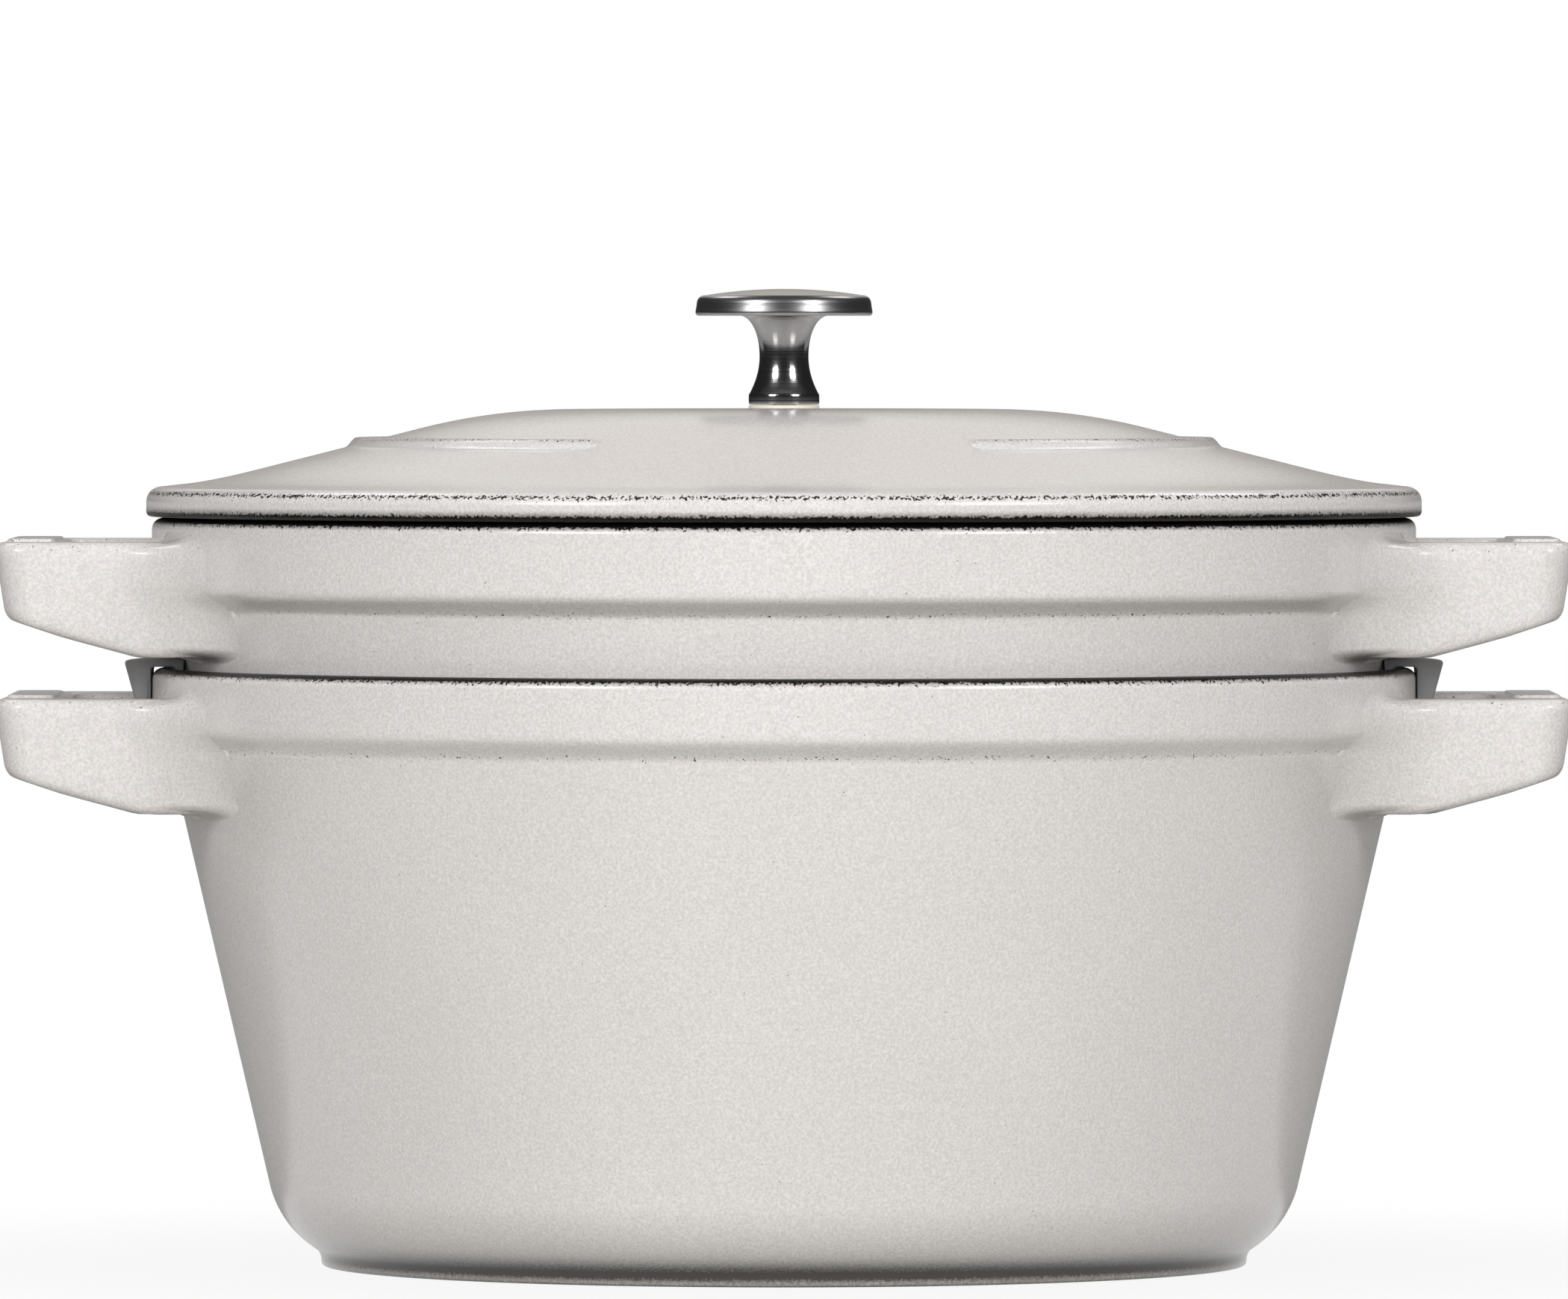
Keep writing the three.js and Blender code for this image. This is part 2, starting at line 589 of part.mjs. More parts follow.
function piece(name, solid, finish) {
  const mesh = new THREE.Mesh(toGeometry(solid), new THREE.MeshStandardMaterial(finish));
  mesh.name = name;
  return mesh;
}

function raised(mesh, height) {
  mesh.position.z = height;
  return mesh;
}

const set = new THREE.Group();
set.add(piece('dutch_oven_pot', vessel(potSizes), ENAMEL));

const clip = rimClip();
set.add(piece('rim_clip_right', clip, SILICONE));
set.add(piece('rim_clip_left', clip.rotate([0, 0, 180]), SILICONE));

set.add(raised(piece('braiser_pan', vessel(braiserSizes), ENAMEL), BRAISER_BASE));

const lid = new THREE.Group();
lid.position.z = LID_BASE;
lid.add(piece('lid_cover', lidCover(), ENAMEL));
lid.add(raised(piece('knob_gasket', ring(SHANK_HOLE, KNOB_BASE_RADIUS, GASKET_THICKNESS), GASKET), GASKET_Z));
lid.add(raised(piece('lid_knob', lidKnob(), STEEL), KNOB_Z));
lid.add(raised(piece('screw_washer', ring(SHANK_HOLE, WASHER_RADIUS, WASHER_THICKNESS), STEEL), WASHER_Z));
lid.add(raised(piece('knob_screw', knobScrew(), STEEL), HEAD_Z));
set.add(lid);

export default set;
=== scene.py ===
"""Looks of a stacking set of enamelled cast iron: dutch oven, braiser, rim clips, lid and knob.

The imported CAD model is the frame. Each casting is drawn again as one dense surface with its true
fillets, and every finish is procedural. Lengths are metres, written as millimetres times MM.
"""

import math

import bmesh
import bpy
import numpy as np
from bpy.props import FloatProperty, FloatVectorProperty, PointerProperty
from bpy.types import Node, NodeSocket, Operator, Panel, PropertyGroup
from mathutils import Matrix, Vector


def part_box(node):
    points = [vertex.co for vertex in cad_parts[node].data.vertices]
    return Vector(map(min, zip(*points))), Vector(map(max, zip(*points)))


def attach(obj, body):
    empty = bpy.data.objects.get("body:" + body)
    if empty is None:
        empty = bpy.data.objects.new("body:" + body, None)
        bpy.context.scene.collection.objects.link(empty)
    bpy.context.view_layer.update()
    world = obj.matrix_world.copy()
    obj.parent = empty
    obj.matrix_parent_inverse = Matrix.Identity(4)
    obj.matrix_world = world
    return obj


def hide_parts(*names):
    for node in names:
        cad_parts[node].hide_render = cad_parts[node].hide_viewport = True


bl_info = {
    "name": "Stacking Cast Iron Set",
    "version": (1, 0, 0),
    "blender": (4, 5, 0),
    "location": "View3D > Sidebar > Cookware",
    "description": "Draws an enamelled dutch oven, braiser, rim clips and lid around a CAD frame",
    "category": "Add Mesh",
}

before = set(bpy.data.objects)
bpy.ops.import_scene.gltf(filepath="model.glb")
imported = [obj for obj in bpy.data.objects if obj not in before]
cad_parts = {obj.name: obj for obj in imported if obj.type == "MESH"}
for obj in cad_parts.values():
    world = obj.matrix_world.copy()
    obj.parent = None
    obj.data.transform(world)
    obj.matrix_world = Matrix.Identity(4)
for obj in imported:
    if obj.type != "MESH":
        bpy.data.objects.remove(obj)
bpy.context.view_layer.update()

MM = 0.001
POT_LOW, POT_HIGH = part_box("dutch_oven_pot")
BRAISER_LOW, BRAISER_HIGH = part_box("braiser_pan")
LID_LOW, LID_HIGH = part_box("lid_cover")
KNOB_LOW, KNOB_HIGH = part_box("lid_knob")
GASKET_LOW, GASKET_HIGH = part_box("knob_gasket")
CLIP_LOW, CLIP_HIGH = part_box("rim_clip_right")
RIM_RADIUS = POT_HIGH.y


def linear(code):
    """Linear colour of an sRGB hex code: c / 12.92 near black, ((c + 0.055) / 1.055)^2.4 above."""
    srgb = np.array([int(code[i:i + 2], 16) for i in (1, 3, 5)]) / 255
    return tuple(np.where(srgb <= 0.04045, srgb / 12.92, ((srgb + 0.055) / 1.055) ** 2.4))


def length(name, millimetres, description):
    """A length that the sidebar shows, with its default given in millimetres."""
    return FloatProperty(name=name, description=description, default=millimetres * MM, unit="LENGTH")


def turn(name, degrees, description):
    """An angle that the sidebar shows, with its default given in degrees."""
    return FloatProperty(name=name, description=description, default=math.radians(degrees), subtype="ANGLE")


def colour(name, code, description):
    """A colour that the sidebar shows, with its default given as an sRGB hex code."""
    return FloatVectorProperty(
        name=name, description=description, default=linear(code), size=3, min=0, max=1, subtype="COLOR"
    )


def power(name, watts, description):
    """A lamp's power that the sidebar shows, with its default given in watts."""
    return FloatProperty(name=name, description=description, default=watts, unit="POWER")


class CookwareVessels(PropertyGroup):
    """Sizes that both vessels share, then the few that differ"""

    wall: length("Wall", 4.5, "Thickness of the cast wall")
    floor: length("Floor", 5, "Thickness of the cast floor")
    draft: turn("Draft", 13.1, "Lean of the wall from the vertical")
    step_rise: length("Step rise", 5.5, "Height of the soft step under the rim band")
    inner_step_drop: length("Inner step drop", 2.2, "How far the step lies lower on the inside")
    rim_outer_round: length("Rim outer round", 2.4, "Radius of the rim's outer edge")
    rim_inner_round: length("Rim inner round", 1.4, "Radius of the rim's inner edge")
    foot_height: length("Foot height", 3.6, "Height of the foot ring")
    foot_recess: length("Foot recess", 1.2, "How far the base is set up inside the foot ring")
    foot_width: length("Foot width", 8, "Width of the foot ring")
    foot_edge: length("Foot edge", 0.9, "Radius of the foot ring's edges")
    foot_groove: length("Foot groove", 1.2, "How far the foot ring is set in from the bottom bend")
    bend_end: turn("Bend end", 58, "Where the bottom bend meets the foot ring")
    pot_band: length("Pot band", 14.9, "Height of the dutch oven's rim band")
    pot_band_step: length("Pot band step", 2.9, "How far the dutch oven's band stands proud")
    pot_bend: length("Pot bend", 22, "Outer radius of the dutch oven's bottom bend")
    pot_inner_bend: length("Pot inner bend", 20, "Inner radius of the dutch oven's bottom bend")
    pot_handle_drop: length("Pot handle drop", 5.9, "Rim to handle top on the dutch oven")
    braiser_band: length("Braiser band", 17.4, "Height of the braiser's rim band")
    braiser_band_step: length("Braiser band step", 4.05, "How far the braiser's band stands proud")
    braiser_bend: length("Braiser bend", 17, "Outer radius of the braiser's bottom bend")
    braiser_inner_bend: length("Braiser inner bend", 14, "Inner radius of the braiser's bottom bend")
    braiser_handle_drop: length("Braiser handle drop", 4.8, "Rim to handle top on the braiser")


class CookwareHandles(PropertyGroup):
    """Sizes of the cast loop handles"""

    reach: length("Reach", 32, "How far a handle stands out from the rim")
    half_width: length("Half width", 46, "Middle of a handle to the outside of an arm")
    bar: length("Bar", 14.6, "Width of the cross bar")
    arm: length("Arm", 13.5, "Width of each arm")
    root_height: length("Root height", 24.2, "Height of a handle at the wall")
    end_height: length("End height", 16, "Height of a handle at its end")
    end_draft: turn("End draft", 9, "Lean of the end face")
    corner: length("Corner", 7, "Outer plan radius between arm and bar")
    hole_corner: length("Hole corner", 6, "Plan radius of the finger opening")
    edge: length("Edge", 2.3, "Radius of the handle's long edges")
    root_flat: length("Root flat", 1.5, "Level stretch of the underside beside the rim")
    flare: length("Flare", 14, "Fillet between the outside of an arm and the wall")
    inner_fillet: length("Inner fillet", 4, "Fillet between the inside of an arm and the wall")
    top_fillet: length("Top fillet", 2.6, "Fillet between the top of an arm and the rim band")
    under_fillet: length("Under fillet", 1.6, "Fillet between the underside of an arm and the wall")
    web_setback: length("Web setback", 0.4, "How far the web between the arms lies inside the band")
    pad_length: length("Pad length", 52, "Length of the plain raised panel on the bar")
    pad_margin: length("Pad margin", 2.2, "Bar edge to panel")
    pad_height: length("Pad height", 0.6, "Height of the plain raised panel")
    pad_corner: length("Pad corner", 3, "Plan radius of the panel's corners")


class CookwareClips(PropertyGroup):
    """Sizes of the silicone rim clips"""

    span: length("Span", 20, "Length of a clip along the rim")
    bridge: length("Bridge", 2.2, "Thickness of the saddle over the rim")
    tongue: length("Tongue", 1.6, "Thickness of the tongue inside the rim")
    leg_top: length("Leg top", 5.6, "Thickness of the outer leg at the top")
    leg_tip: length("Leg tip", 1.4, "Thickness of the outer leg at its tip")
    nose: length("Nose", 0.4, "Overhang of the saddle past the tongue")
    nose_drop: length("Nose drop", 0.6, "Crown to the middle of the nose")
    edge_drop: length("Edge drop", 1, "Crown to the outer top edge")
    taper: length("Taper", 1.6, "Narrowing of each side towards the tips")
    corner: length("Corner", 4.5, "Radius of the lower corners")
    fit: length("Fit", 0.3, "Gap between clip and rim")
    edge: length("Edge", 0.5, "Radius of the moulded edges")


class CookwareLid(PropertyGroup):
    """Sizes of the lid"""

    lip_depth: length("Lip depth", 6, "Height of the locating lip under the flange")
    lip_width: length("Lip width", 4.5, "Thickness of the locating lip")
    lip_taper: length("Lip taper", 1.3, "Draft of the lip over its depth")
    lip_round: length("Lip round", 1.6, "Radius of the lip's lower edges")
    lip_inset: length("Lip inset", 6.7, "Flange edge to the lip")
    flange_edge: length("Flange edge", 3.1, "Straight height of the flange's edge")
    flange_round: length("Flange round", 3.2, "Radius of the flange's upper edge")
    flange_foot: length("Flange foot", 1.2, "Round under the flange's edge")
    flange_width: length("Flange width", 13.2, "Flange edge to the foot of the slope")
    flange_rise: length("Flange rise", 1, "Rise of the flange towards the slope")
    slope: turn("Slope", 14.2, "Lean of the sloping part from the level")
    crown: length("Crown", 130, "Radius of the bend into the plateau")
    plateau: length("Plateau", 45, "Radius of the level middle")
    wall: length("Wall", 4.5, "Thickness of the lid")
    hole: length("Hole", 2.8, "Radius of the screw hole")
    rib_radius: length("Rib radius", 88.9, "Axis to the middle of the rib")
    rib_width: length("Rib width", 8.4, "Width of the rib at its foot")
    rib_riser: length("Rib riser", 2.6, "Width of the soft riser at the rib's outer edge")
    rib_height: length("Rib height", 1.47, "Height of the rib where its riser ends")
    rib_gap: turn("Rib gap", 26, "Half of the gap in the rib, at the front and at the back")


class CookwareKnob(PropertyGroup):
    """Sizes of the turned knob"""

    base_radius: length("Base radius", 7.5, "Radius of the base ring")
    base_height: length("Base height", 2, "Height of the base ring")
    neck_radius: length("Neck radius", 5.2, "Radius of the waist")
    waist_height: length("Waist height", 10.2, "Height of the waist")
    neck_flare: length("Neck flare", 4.2, "Widening of the neck under the cap")
    cap_radius: length("Cap radius", 18.8, "Radius of the cap")
    cap_thickness: length("Cap thickness", 5.7, "Thickness of the cap at its middle")
    cap_lean: length("Cap lean", 0.25, "Draft of the cap's side")
    cap_edge: length("Cap edge", 0.8, "Radius of the cap's lower edge")
    shoulder: length("Shoulder", 2.1, "Radius of the cap's upper edge")
    crown: length("Crown", 1.3, "Rise of the cap's top")
    bore_radius: length("Bore radius", 2.8, "Radius of the screw's bore")
    bore_depth: length("Bore depth", 13, "Depth of the screw's bore")


class CookwareFinishes(PropertyGroup):
    """Colours of the finishes"""

    enamel: colour("Enamel", "#E8E4E2", "Warm light grey outside")
    enamel_fleck: colour("Enamel fleck", "#D0CCCA", "Darker grains in the grey")
    lining: colour("Lining", "#15130F", "Black enamel inside")
    # The iron colour also serves as painted shade in the foot's groove, on its ring and along its lower
    # edge
    iron: colour("Iron", "#3B3631", "Bare iron that shows through on thin edges")
    steel: colour("Steel", "#C9C9CA", "Turned stainless steel")
    silicone: colour("Silicone", "#919192", "Moulded silicone of the clips")
    gasket: colour("Gasket", "#E4DED0", "Ring under the knob")
    floor: colour("Floor", "#8C8981", "Floor as the object's light sees it")


class CookwareStage(PropertyGroup):
    """Camera and light"""

    camera_distance: length("Camera distance", 4000, "Camera to the axis of the pot")
    camera_height: length("Camera height", 200, "Camera above the floor")
    target_height: length("Target height", 130.5, "Point that the camera looks at, above the floor")
    lens: FloatProperty(name="Lens", description="Focal length in millimetres", default=433, unit="CAMERA")
    key_power: power("Key power", 27, "Power of each front softbox")
    fill_power: power("Fill power", 56, "Power of the front fill")
    top_power: power("Top power", 2.8, "Power of the overhead panel")
    ambient: FloatProperty(
        name="Ambient", description="World light on the object", default=0.2, min=0, max=1, subtype="FACTOR"
    )


# Curves: rows of points from the start up to, but not at, the end, so that runs join without doubles


def span(start, end, count):
    """Straight run: (1 - t) start + t end."""
    t = np.arange(count)[:, None] / count
    return (1 - t) * np.array(start) + t * np.array(end)


def quadratic(start, corner, end, t):
    """Curve that leaves start and meets end along the lines to corner.

    A point of it is (1 - t)² start + 2t(1 - t) corner + t² end.
    """
    return (1 - t) ** 2 * start + 2 * t * (1 - t) * corner + t ** 2 * end


def bend(start, corner, end, count):
    """Quadratic run from start to end, bent by corner."""
    t = np.arange(count)[:, None] / count
    return quadratic(np.array(start), np.array(corner), np.array(end), t)


def on_circle(centre, radius, angles):
    """Points of a circle: centre + radius (cos a, sin a) for each angle a."""
    return np.array(centre) + radius * np.column_stack((np.cos(angles), np.sin(angles)))


def arc(centre, radius, start, end, count):
    """Circular run with the angle going evenly from start to end."""
    return on_circle(centre, radius, start + (end - start) * np.arange(count) / count)


def smooth(low, high, value):
    """Smoothstep: t²(3 - 2t), where t is the share of the way from low to high."""
    t = np.clip((value - low) / (high - low), 0, 1)
    return t * t * (3 - 2 * t)


def near(distance, width):
    """Bell curve exp(-(distance / width)²)."""
    return np.exp(-(distance / width) ** 2)


def along(profile):
    """Distance travelled along a profile up to each of its rows."""
    steps = np.linalg.norm(np.diff(profile, axis=0), axis=1)
    return np.concatenate(([0], np.cumsum(steps)))


def even(points, count):
    """Closed outline laid out again with its points at even distances along it."""
    closed = np.concatenate((points, points[:1]))
    travel = along(closed)
    stations = np.arange(count) * travel[-1] / count
    return np.column_stack([np.interp(stations, travel, values) for values in closed.T])


def outline(corners, rounds, steps):
    """Closed outline of corners, each cut back by its round along both edges and bent across."""
    points = np.array(corners)
    back = np.roll(points, 1, axis=0) - points
    ahead = np.roll(points, -1, axis=0) - points
    sizes = np.broadcast_to(rounds, len(points))[:, None]
    enter = points + back / np.linalg.norm(back, axis=1, keepdims=True) * sizes
    leave = points + ahead / np.linalg.norm(ahead, axis=1, keepdims=True) * sizes
    t = np.linspace(0, 1, steps)[None, :, None]
    return quadratic(enter[:, None], points[:, None], leave[:, None], t).reshape(-1, 2)


# Meshes


def turned(profile, angles):
    """Surface of revolution: (r cos a, r sin a, z) for each row (r, z) of the profile and angle a."""
    radius, height = np.moveaxis(profile, -1, 0)
    if radius.ndim == 1:
        radius, height = radius[:, None], height[:, None]
    x, y = radius * np.cos(angles), radius * np.sin(angles)
    return np.stack((x, y, np.broadcast_to(height, x.shape)), axis=-1)


def circle(count):
    """Even angles round the axis, from zero up to, but not at, a full turn."""
    return np.arange(count) * 2 * np.pi / count


def tube_faces(rows, columns, first, ring):
    """Quads between neighbouring rows and columns of a grid whose columns close on themselves.

    A ring's rows close on themselves too. Otherwise one face closes each end row.
    """
    index = first + np.arange(rows * columns).reshape(rows, columns)
    lower = index if ring else index[:-1]
    upper = np.roll(index, -1, axis=0) if ring else index[1:]
    corners = (lower, np.roll(lower, -1, axis=1), np.roll(upper, -1, axis=1), upper)
    faces = np.stack(corners, axis=-1).reshape(-1, 4).tolist()
    if not ring:
        faces += [index[0, ::-1].tolist(), index[-1].tolist()]
    return faces


class Shell:
    """One closed surface: its grid of points, and a number at each point for each attribute."""

    def __init__(self, points, ring=False, **attributes):
        self.points = points
        self.ring = ring
        self.attributes = attributes

    def turned_half(self):
        """The same shell half a turn round the axis: x and y change sign."""
        return Shell(self.points * (-1, -1, 1), self.ring, **self.attributes)


def make_piece(name, shells, material, body, replaced):
    """Puts shells into one smooth mesh object, which rides on a body in place of a CAD node."""
    faces = []
    first = 0
    for shell in shells:
        rows, columns = shell.points.shape[:2]
        faces += tube_faces(rows, columns, first, shell.ring)
        first += rows * columns
    points = np.concatenate([shell.points.reshape(-1, 3) for shell in shells])
    mesh = bpy.data.meshes.new(name)
    mesh.from_pydata(points.tolist(), [], faces)
    for key in shells[0].attributes:
        values = [np.broadcast_to(shell.attributes[key], shell.points.shape[:2]) for shell in shells]
        layer = mesh.attributes.new(key, "FLOAT", "POINT")
        layer.data.foreach_set("value", np.concatenate(values, axis=None).astype(np.float32))
    turn_faces_out(mesh)
    mesh.shade_smooth()
    mesh.materials.append(material)
    piece = bpy.data.objects.new(name, mesh)
    bpy.context.scene.collection.objects.link(piece)
    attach(piece, body)
    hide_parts(replaced)


def turn_faces_out(mesh):
    """Makes the faces of each closed shell point outwards."""
    work = bmesh.new()
    work.from_mesh(mesh)
    bmesh.ops.recalc_face_normals(work, faces=work.faces)
    work.to_mesh(mesh)
    work.free()
    mesh.update()


# Vessels: the dutch oven and the braiser are one form with different sizes

VESSEL_SECTORS = 288
WEB_ROWS = 40
CENTRE_RING = 2 * MM


class Vessel:
    """Sizes of one vessel, the pot or the braiser of the settings, with heights from its own foot."""

    def __init__(self, shared, kind, low, high):
        self.shared = shared
        self.base = low.z
        self.height = high.z - low.z
        self.step = self.height - getattr(shared, f"{kind}_band")
        self.band_step = getattr(shared, f"{kind}_band_step")
        self.bend_radius = getattr(shared, f"{kind}_bend")
        self.inner_bend = getattr(shared, f"{kind}_inner_bend")
        self.handle_top = self.height - getattr(shared, f"{kind}_handle_drop")

    def wall_radius(self, height):
        """Outside of the tapered wall: the band's radius less its step, less the draft below it."""
        return RIM_RADIUS - self.band_step - (self.step - height) * math.tan(self.shared.draft)

    def outside_radius(self, height):
        """Outside at any height over the bottom bend: the wall, then the smoothstep up to the band."""
        half = self.shared.step_rise / 2
        foot = np.minimum(height, self.step - half)
        share = smooth(self.step - half, self.step + half, height)
        wall = self.wall_radius(foot)
        return wall + (RIM_RADIUS - wall) * share


def vessel_profiles(vessel, handle):
    """Plain profile and web profile of a vessel, row for row, from under its middle to its floor.

    Each runs along the recessed base, foot ring, bottom bend, wall, band and rim, then down the inside.
    The web profile leaves the wall under the handles for a ledge and an upright face.
    """
    shared = vessel.shared
    lean = shared.draft
    edge = shared.foot_edge
    tangent = shared.foot_height + vessel.bend_radius * (math.sin(shared.bend_end) - math.sin(lean))
    centre = (
        vessel.wall_radius(tangent) - vessel.bend_radius * math.cos(lean),
        tangent + vessel.bend_radius * math.sin(lean),
    )
    foot = centre[0] + vessel.bend_radius * math.cos(shared.bend_end) - shared.foot_groove
    inner_foot = foot - shared.foot_width
    recess_end = (inner_foot - edge, shared.foot_recess)
    ring_start = (inner_foot + edge, 0)
    web_root = vessel.handle_top - handle.root_height
    web_low = web_root - handle.under_fillet
    web_high = vessel.step + shared.step_rise / 2
    groove = (foot, shared.foot_height - edge)
    base = np.concatenate((
        span((CENTRE_RING, shared.foot_recess), recess_end, 16),
        bend(recess_end, (inner_foot, shared.foot_recess), ring_start, 5),
        span(ring_start, (foot - edge, 0), 5),
        bend((foot - edge, 0), (foot, 0), (foot, edge), 5),
        bend((foot, edge), groove, (foot + shared.foot_groove, shared.foot_height), 5),
        arc(centre, vessel.bend_radius, -shared.bend_end, -lean, 22),
        span((vessel.wall_radius(tangent), tangent), (vessel.wall_radius(web_low), web_low), 18),
    ))
    heights = np.linspace(web_low, web_high, WEB_ROWS, endpoint=False)
    plain = np.column_stack((vessel.outside_radius(heights), heights))
    web = web_face(vessel, handle, web_low, web_root, web_high)
    outer, inner = shared.rim_outer_round, shared.rim_inner_round
    mouth = RIM_RADIUS - shared.wall
    rim = np.concatenate((
        span((RIM_RADIUS, web_high), (RIM_RADIUS, vessel.height - outer), 10),
        arc((RIM_RADIUS - outer, vessel.height - outer), outer, 0, np.pi / 2, 14),
        span((RIM_RADIUS - outer, vessel.height), (mouth + inner, vessel.height), 3),
        arc((mouth + inner, vessel.height - inner), inner, np.pi / 2, np.pi, 10),
    ))
    lining = inside_profile(vessel, mouth)
    return np.concatenate((base, plain, rim, lining)), np.concatenate((base, web, rim, lining))


def web_face(vessel, handle, low, root, high):
    """Web between the arms: a fillet off the wall, a level ledge, a round edge and an upright face."""
    face = RIM_RADIUS - handle.web_setback
    wall = vessel.wall_radius(root)
    ledge = wall + handle.under_fillet * 0.6
    edge = handle.edge * 0.7
    quarter = WEB_ROWS // 4
    return np.concatenate((
        bend((vessel.wall_radius(low), low), (wall, root), (ledge, root), quarter),
        span((ledge, root), (face - edge, root), 3),
        bend((face - edge, root), (face, root), (face, root + edge), quarter),
        span((face, root + edge), (RIM_RADIUS, high), WEB_ROWS - 3 - 2 * quarter),
    ))


def inside_profile(vessel, mouth):
    """Inside of a vessel from its mouth down: band, soft step, wall, bend and level floor."""
    shared = vessel.shared
    lean = shared.draft
    thickness = shared.wall / math.cos(lean)
    floor = shared.foot_recess + shared.floor
    bend_z = floor + vessel.inner_bend
    tangent = bend_z - vessel.inner_bend * math.sin(lean)
    step_low = vessel.step - shared.step_rise / 2 - shared.inner_step_drop
    step_high = step_low + shared.step_rise
    low_radius = vessel.wall_radius(step_low) - thickness
    bend_r = vessel.wall_radius(tangent) - thickness - vessel.inner_bend * math.cos(lean)
    heights = np.linspace(step_high, step_low, 14, endpoint=False)
    step_radius = low_radius + (mouth - low_radius) * smooth(step_low, step_high, heights)
    return np.concatenate((
        span((mouth, vessel.height - shared.rim_inner_round), (mouth, step_high), 8),
        np.column_stack((step_radius, heights)),
        span((low_radius, step_low), (vessel.wall_radius(tangent) - thickness, tangent), 24),
        arc((bend_r, bend_z), vessel.inner_bend, -lean, -np.pi / 2, 18),
        span((bend_r, floor), (CENTRE_RING, floor), 16),
        [(CENTRE_RING, floor)],
    ))


def vessel_shell(vessel, handle):
    """Turned vessel whose profile goes over to the web profile within the width of the handles.

    past_rim is the distance inwards from the rim's outer edge. thin peaks where specks of iron show:
    along the rim, under the step and round the foot. worn mixes in the iron colour: as wear
    towards the rim's edge, and as painted shade in the groove over the foot ring and along the ring's
    lower edge. On the ring itself it is partly bare iron and partly painted shade.
    """
    plain, web = vessel_profiles(vessel, handle)
    angles = circle(VESSEL_SECTORS)
    sideways = np.abs(RIM_RADIUS * np.sin(angles))
    arm_middle = handle.half_width - handle.arm / 2
    blend = handle.arm * 0.4
    share = 1 - smooth(arm_middle - blend, arm_middle + blend, sideways)[None, :, None]
    points = turned((1 - share) * plain[:, None] + share * web[:, None], angles)
    points[..., 2] += vessel.base
    row = np.arange(len(plain))[:, None]
    height = plain[:, 1:]
    outside = row <= np.argmax(height)
    past_ring = row >= np.argmin(height)
    travel = along(plain)[:, None]
    rim_edge = vessel.height - vessel.shared.rim_outer_round * 0.35
    past_rim = travel - travel[outside & (height <= rim_edge)][-1]
    step_low = vessel.step - vessel.shared.step_rise * 0.3
    rim_specks = near(past_rim, 0.9 * MM)
    step_specks = 0.55 * near(height - step_low, 0.8 * MM)
    ring_specks = 0.6 * near(height - vessel.shared.foot_height, 0.7 * MM)
    # Painted shade: the groove over the foot ring and the ring's lower edge are darkened as if in shadow,
    # and the ring is darkened partly as bare iron and partly as painted shade
    over_groove = height - 0.85 * vessel.shared.foot_height
    foot_shade_and_iron = near(over_groove, 2.1 * MM) + 0.34 * (over_groove < 0) + 0.4 * near(height, 0.4 * MM)
    worn_rim = 0.5 * smooth(-0.9 * MM, 0, past_rim)
    return Shell(
        points,
        past_rim=past_rim,
        thin=rim_specks + (step_specks + ring_specks) * outside,
        worn=foot_shade_and_iron * (outside & past_ring) + worn_rim,
    )


# Handles

FILLET_ROWS = 15
FILLET_SINK = 0.012
ARM_ROWS = 6
CORNER_ROWS = 13
BAR_ROWS = 12
EDGE_POINTS = 7
SIDE_POINTS = 9
TUCK = 2.2 * MM

# Least share of the normal across and upwards on what counts as an upper edge
EDGE_NORMAL = 0.2

# past_rim of a surface that the lining never reaches
FAR_OUTSIDE = -40 * MM


def handle_section():
    """Round-edged oblong section as shares: across, down, edge across, edge down and the normal.

    A point lies at across x width + edge across x radius, and likewise downwards. Across runs from the
    outside of the loop to the opening, and down from the top to the underside.
    """
    corners = ((0, 0, 180), (1, 0, 270), (1, 1, 360), (0, 1, 450))
    runs = []
    for across, down, start in corners:
        turn_angle = np.radians(start + np.linspace(0, 90, EDGE_POINTS))
        cos, sin = np.cos(turn_angle), np.sin(turn_angle)
        ones = np.ones(EDGE_POINTS)
        runs.append(np.column_stack(
            (across * ones, down * ones, (1 - 2 * across) + cos, (1 - 2 * down) + sin, cos, sin)
        ))
    share = np.linspace(0, 1, SIDE_POINTS + 2)[1:-1, None]
    parts = []
    for run, following in zip(runs, runs[1:] + runs[:1]):
        parts += [run, (1 - share) * run[-1] + share * following[0]]
    return np.concatenate(parts).T


def edge_line(edge_x, corner_y, radius):
    """Plan of one edge of a loop: a quarter circle off the arm, then straight to the bar's middle."""
    corner = on_circle((edge_x - radius, corner_y), radius, np.linspace(-np.pi / 2, 0, CORNER_ROWS))
    bar = span((edge_x, corner_y), (edge_x, 0), BAR_ROWS)[1:]
    return np.concatenate((corner, bar, [(edge_x, 0)]))


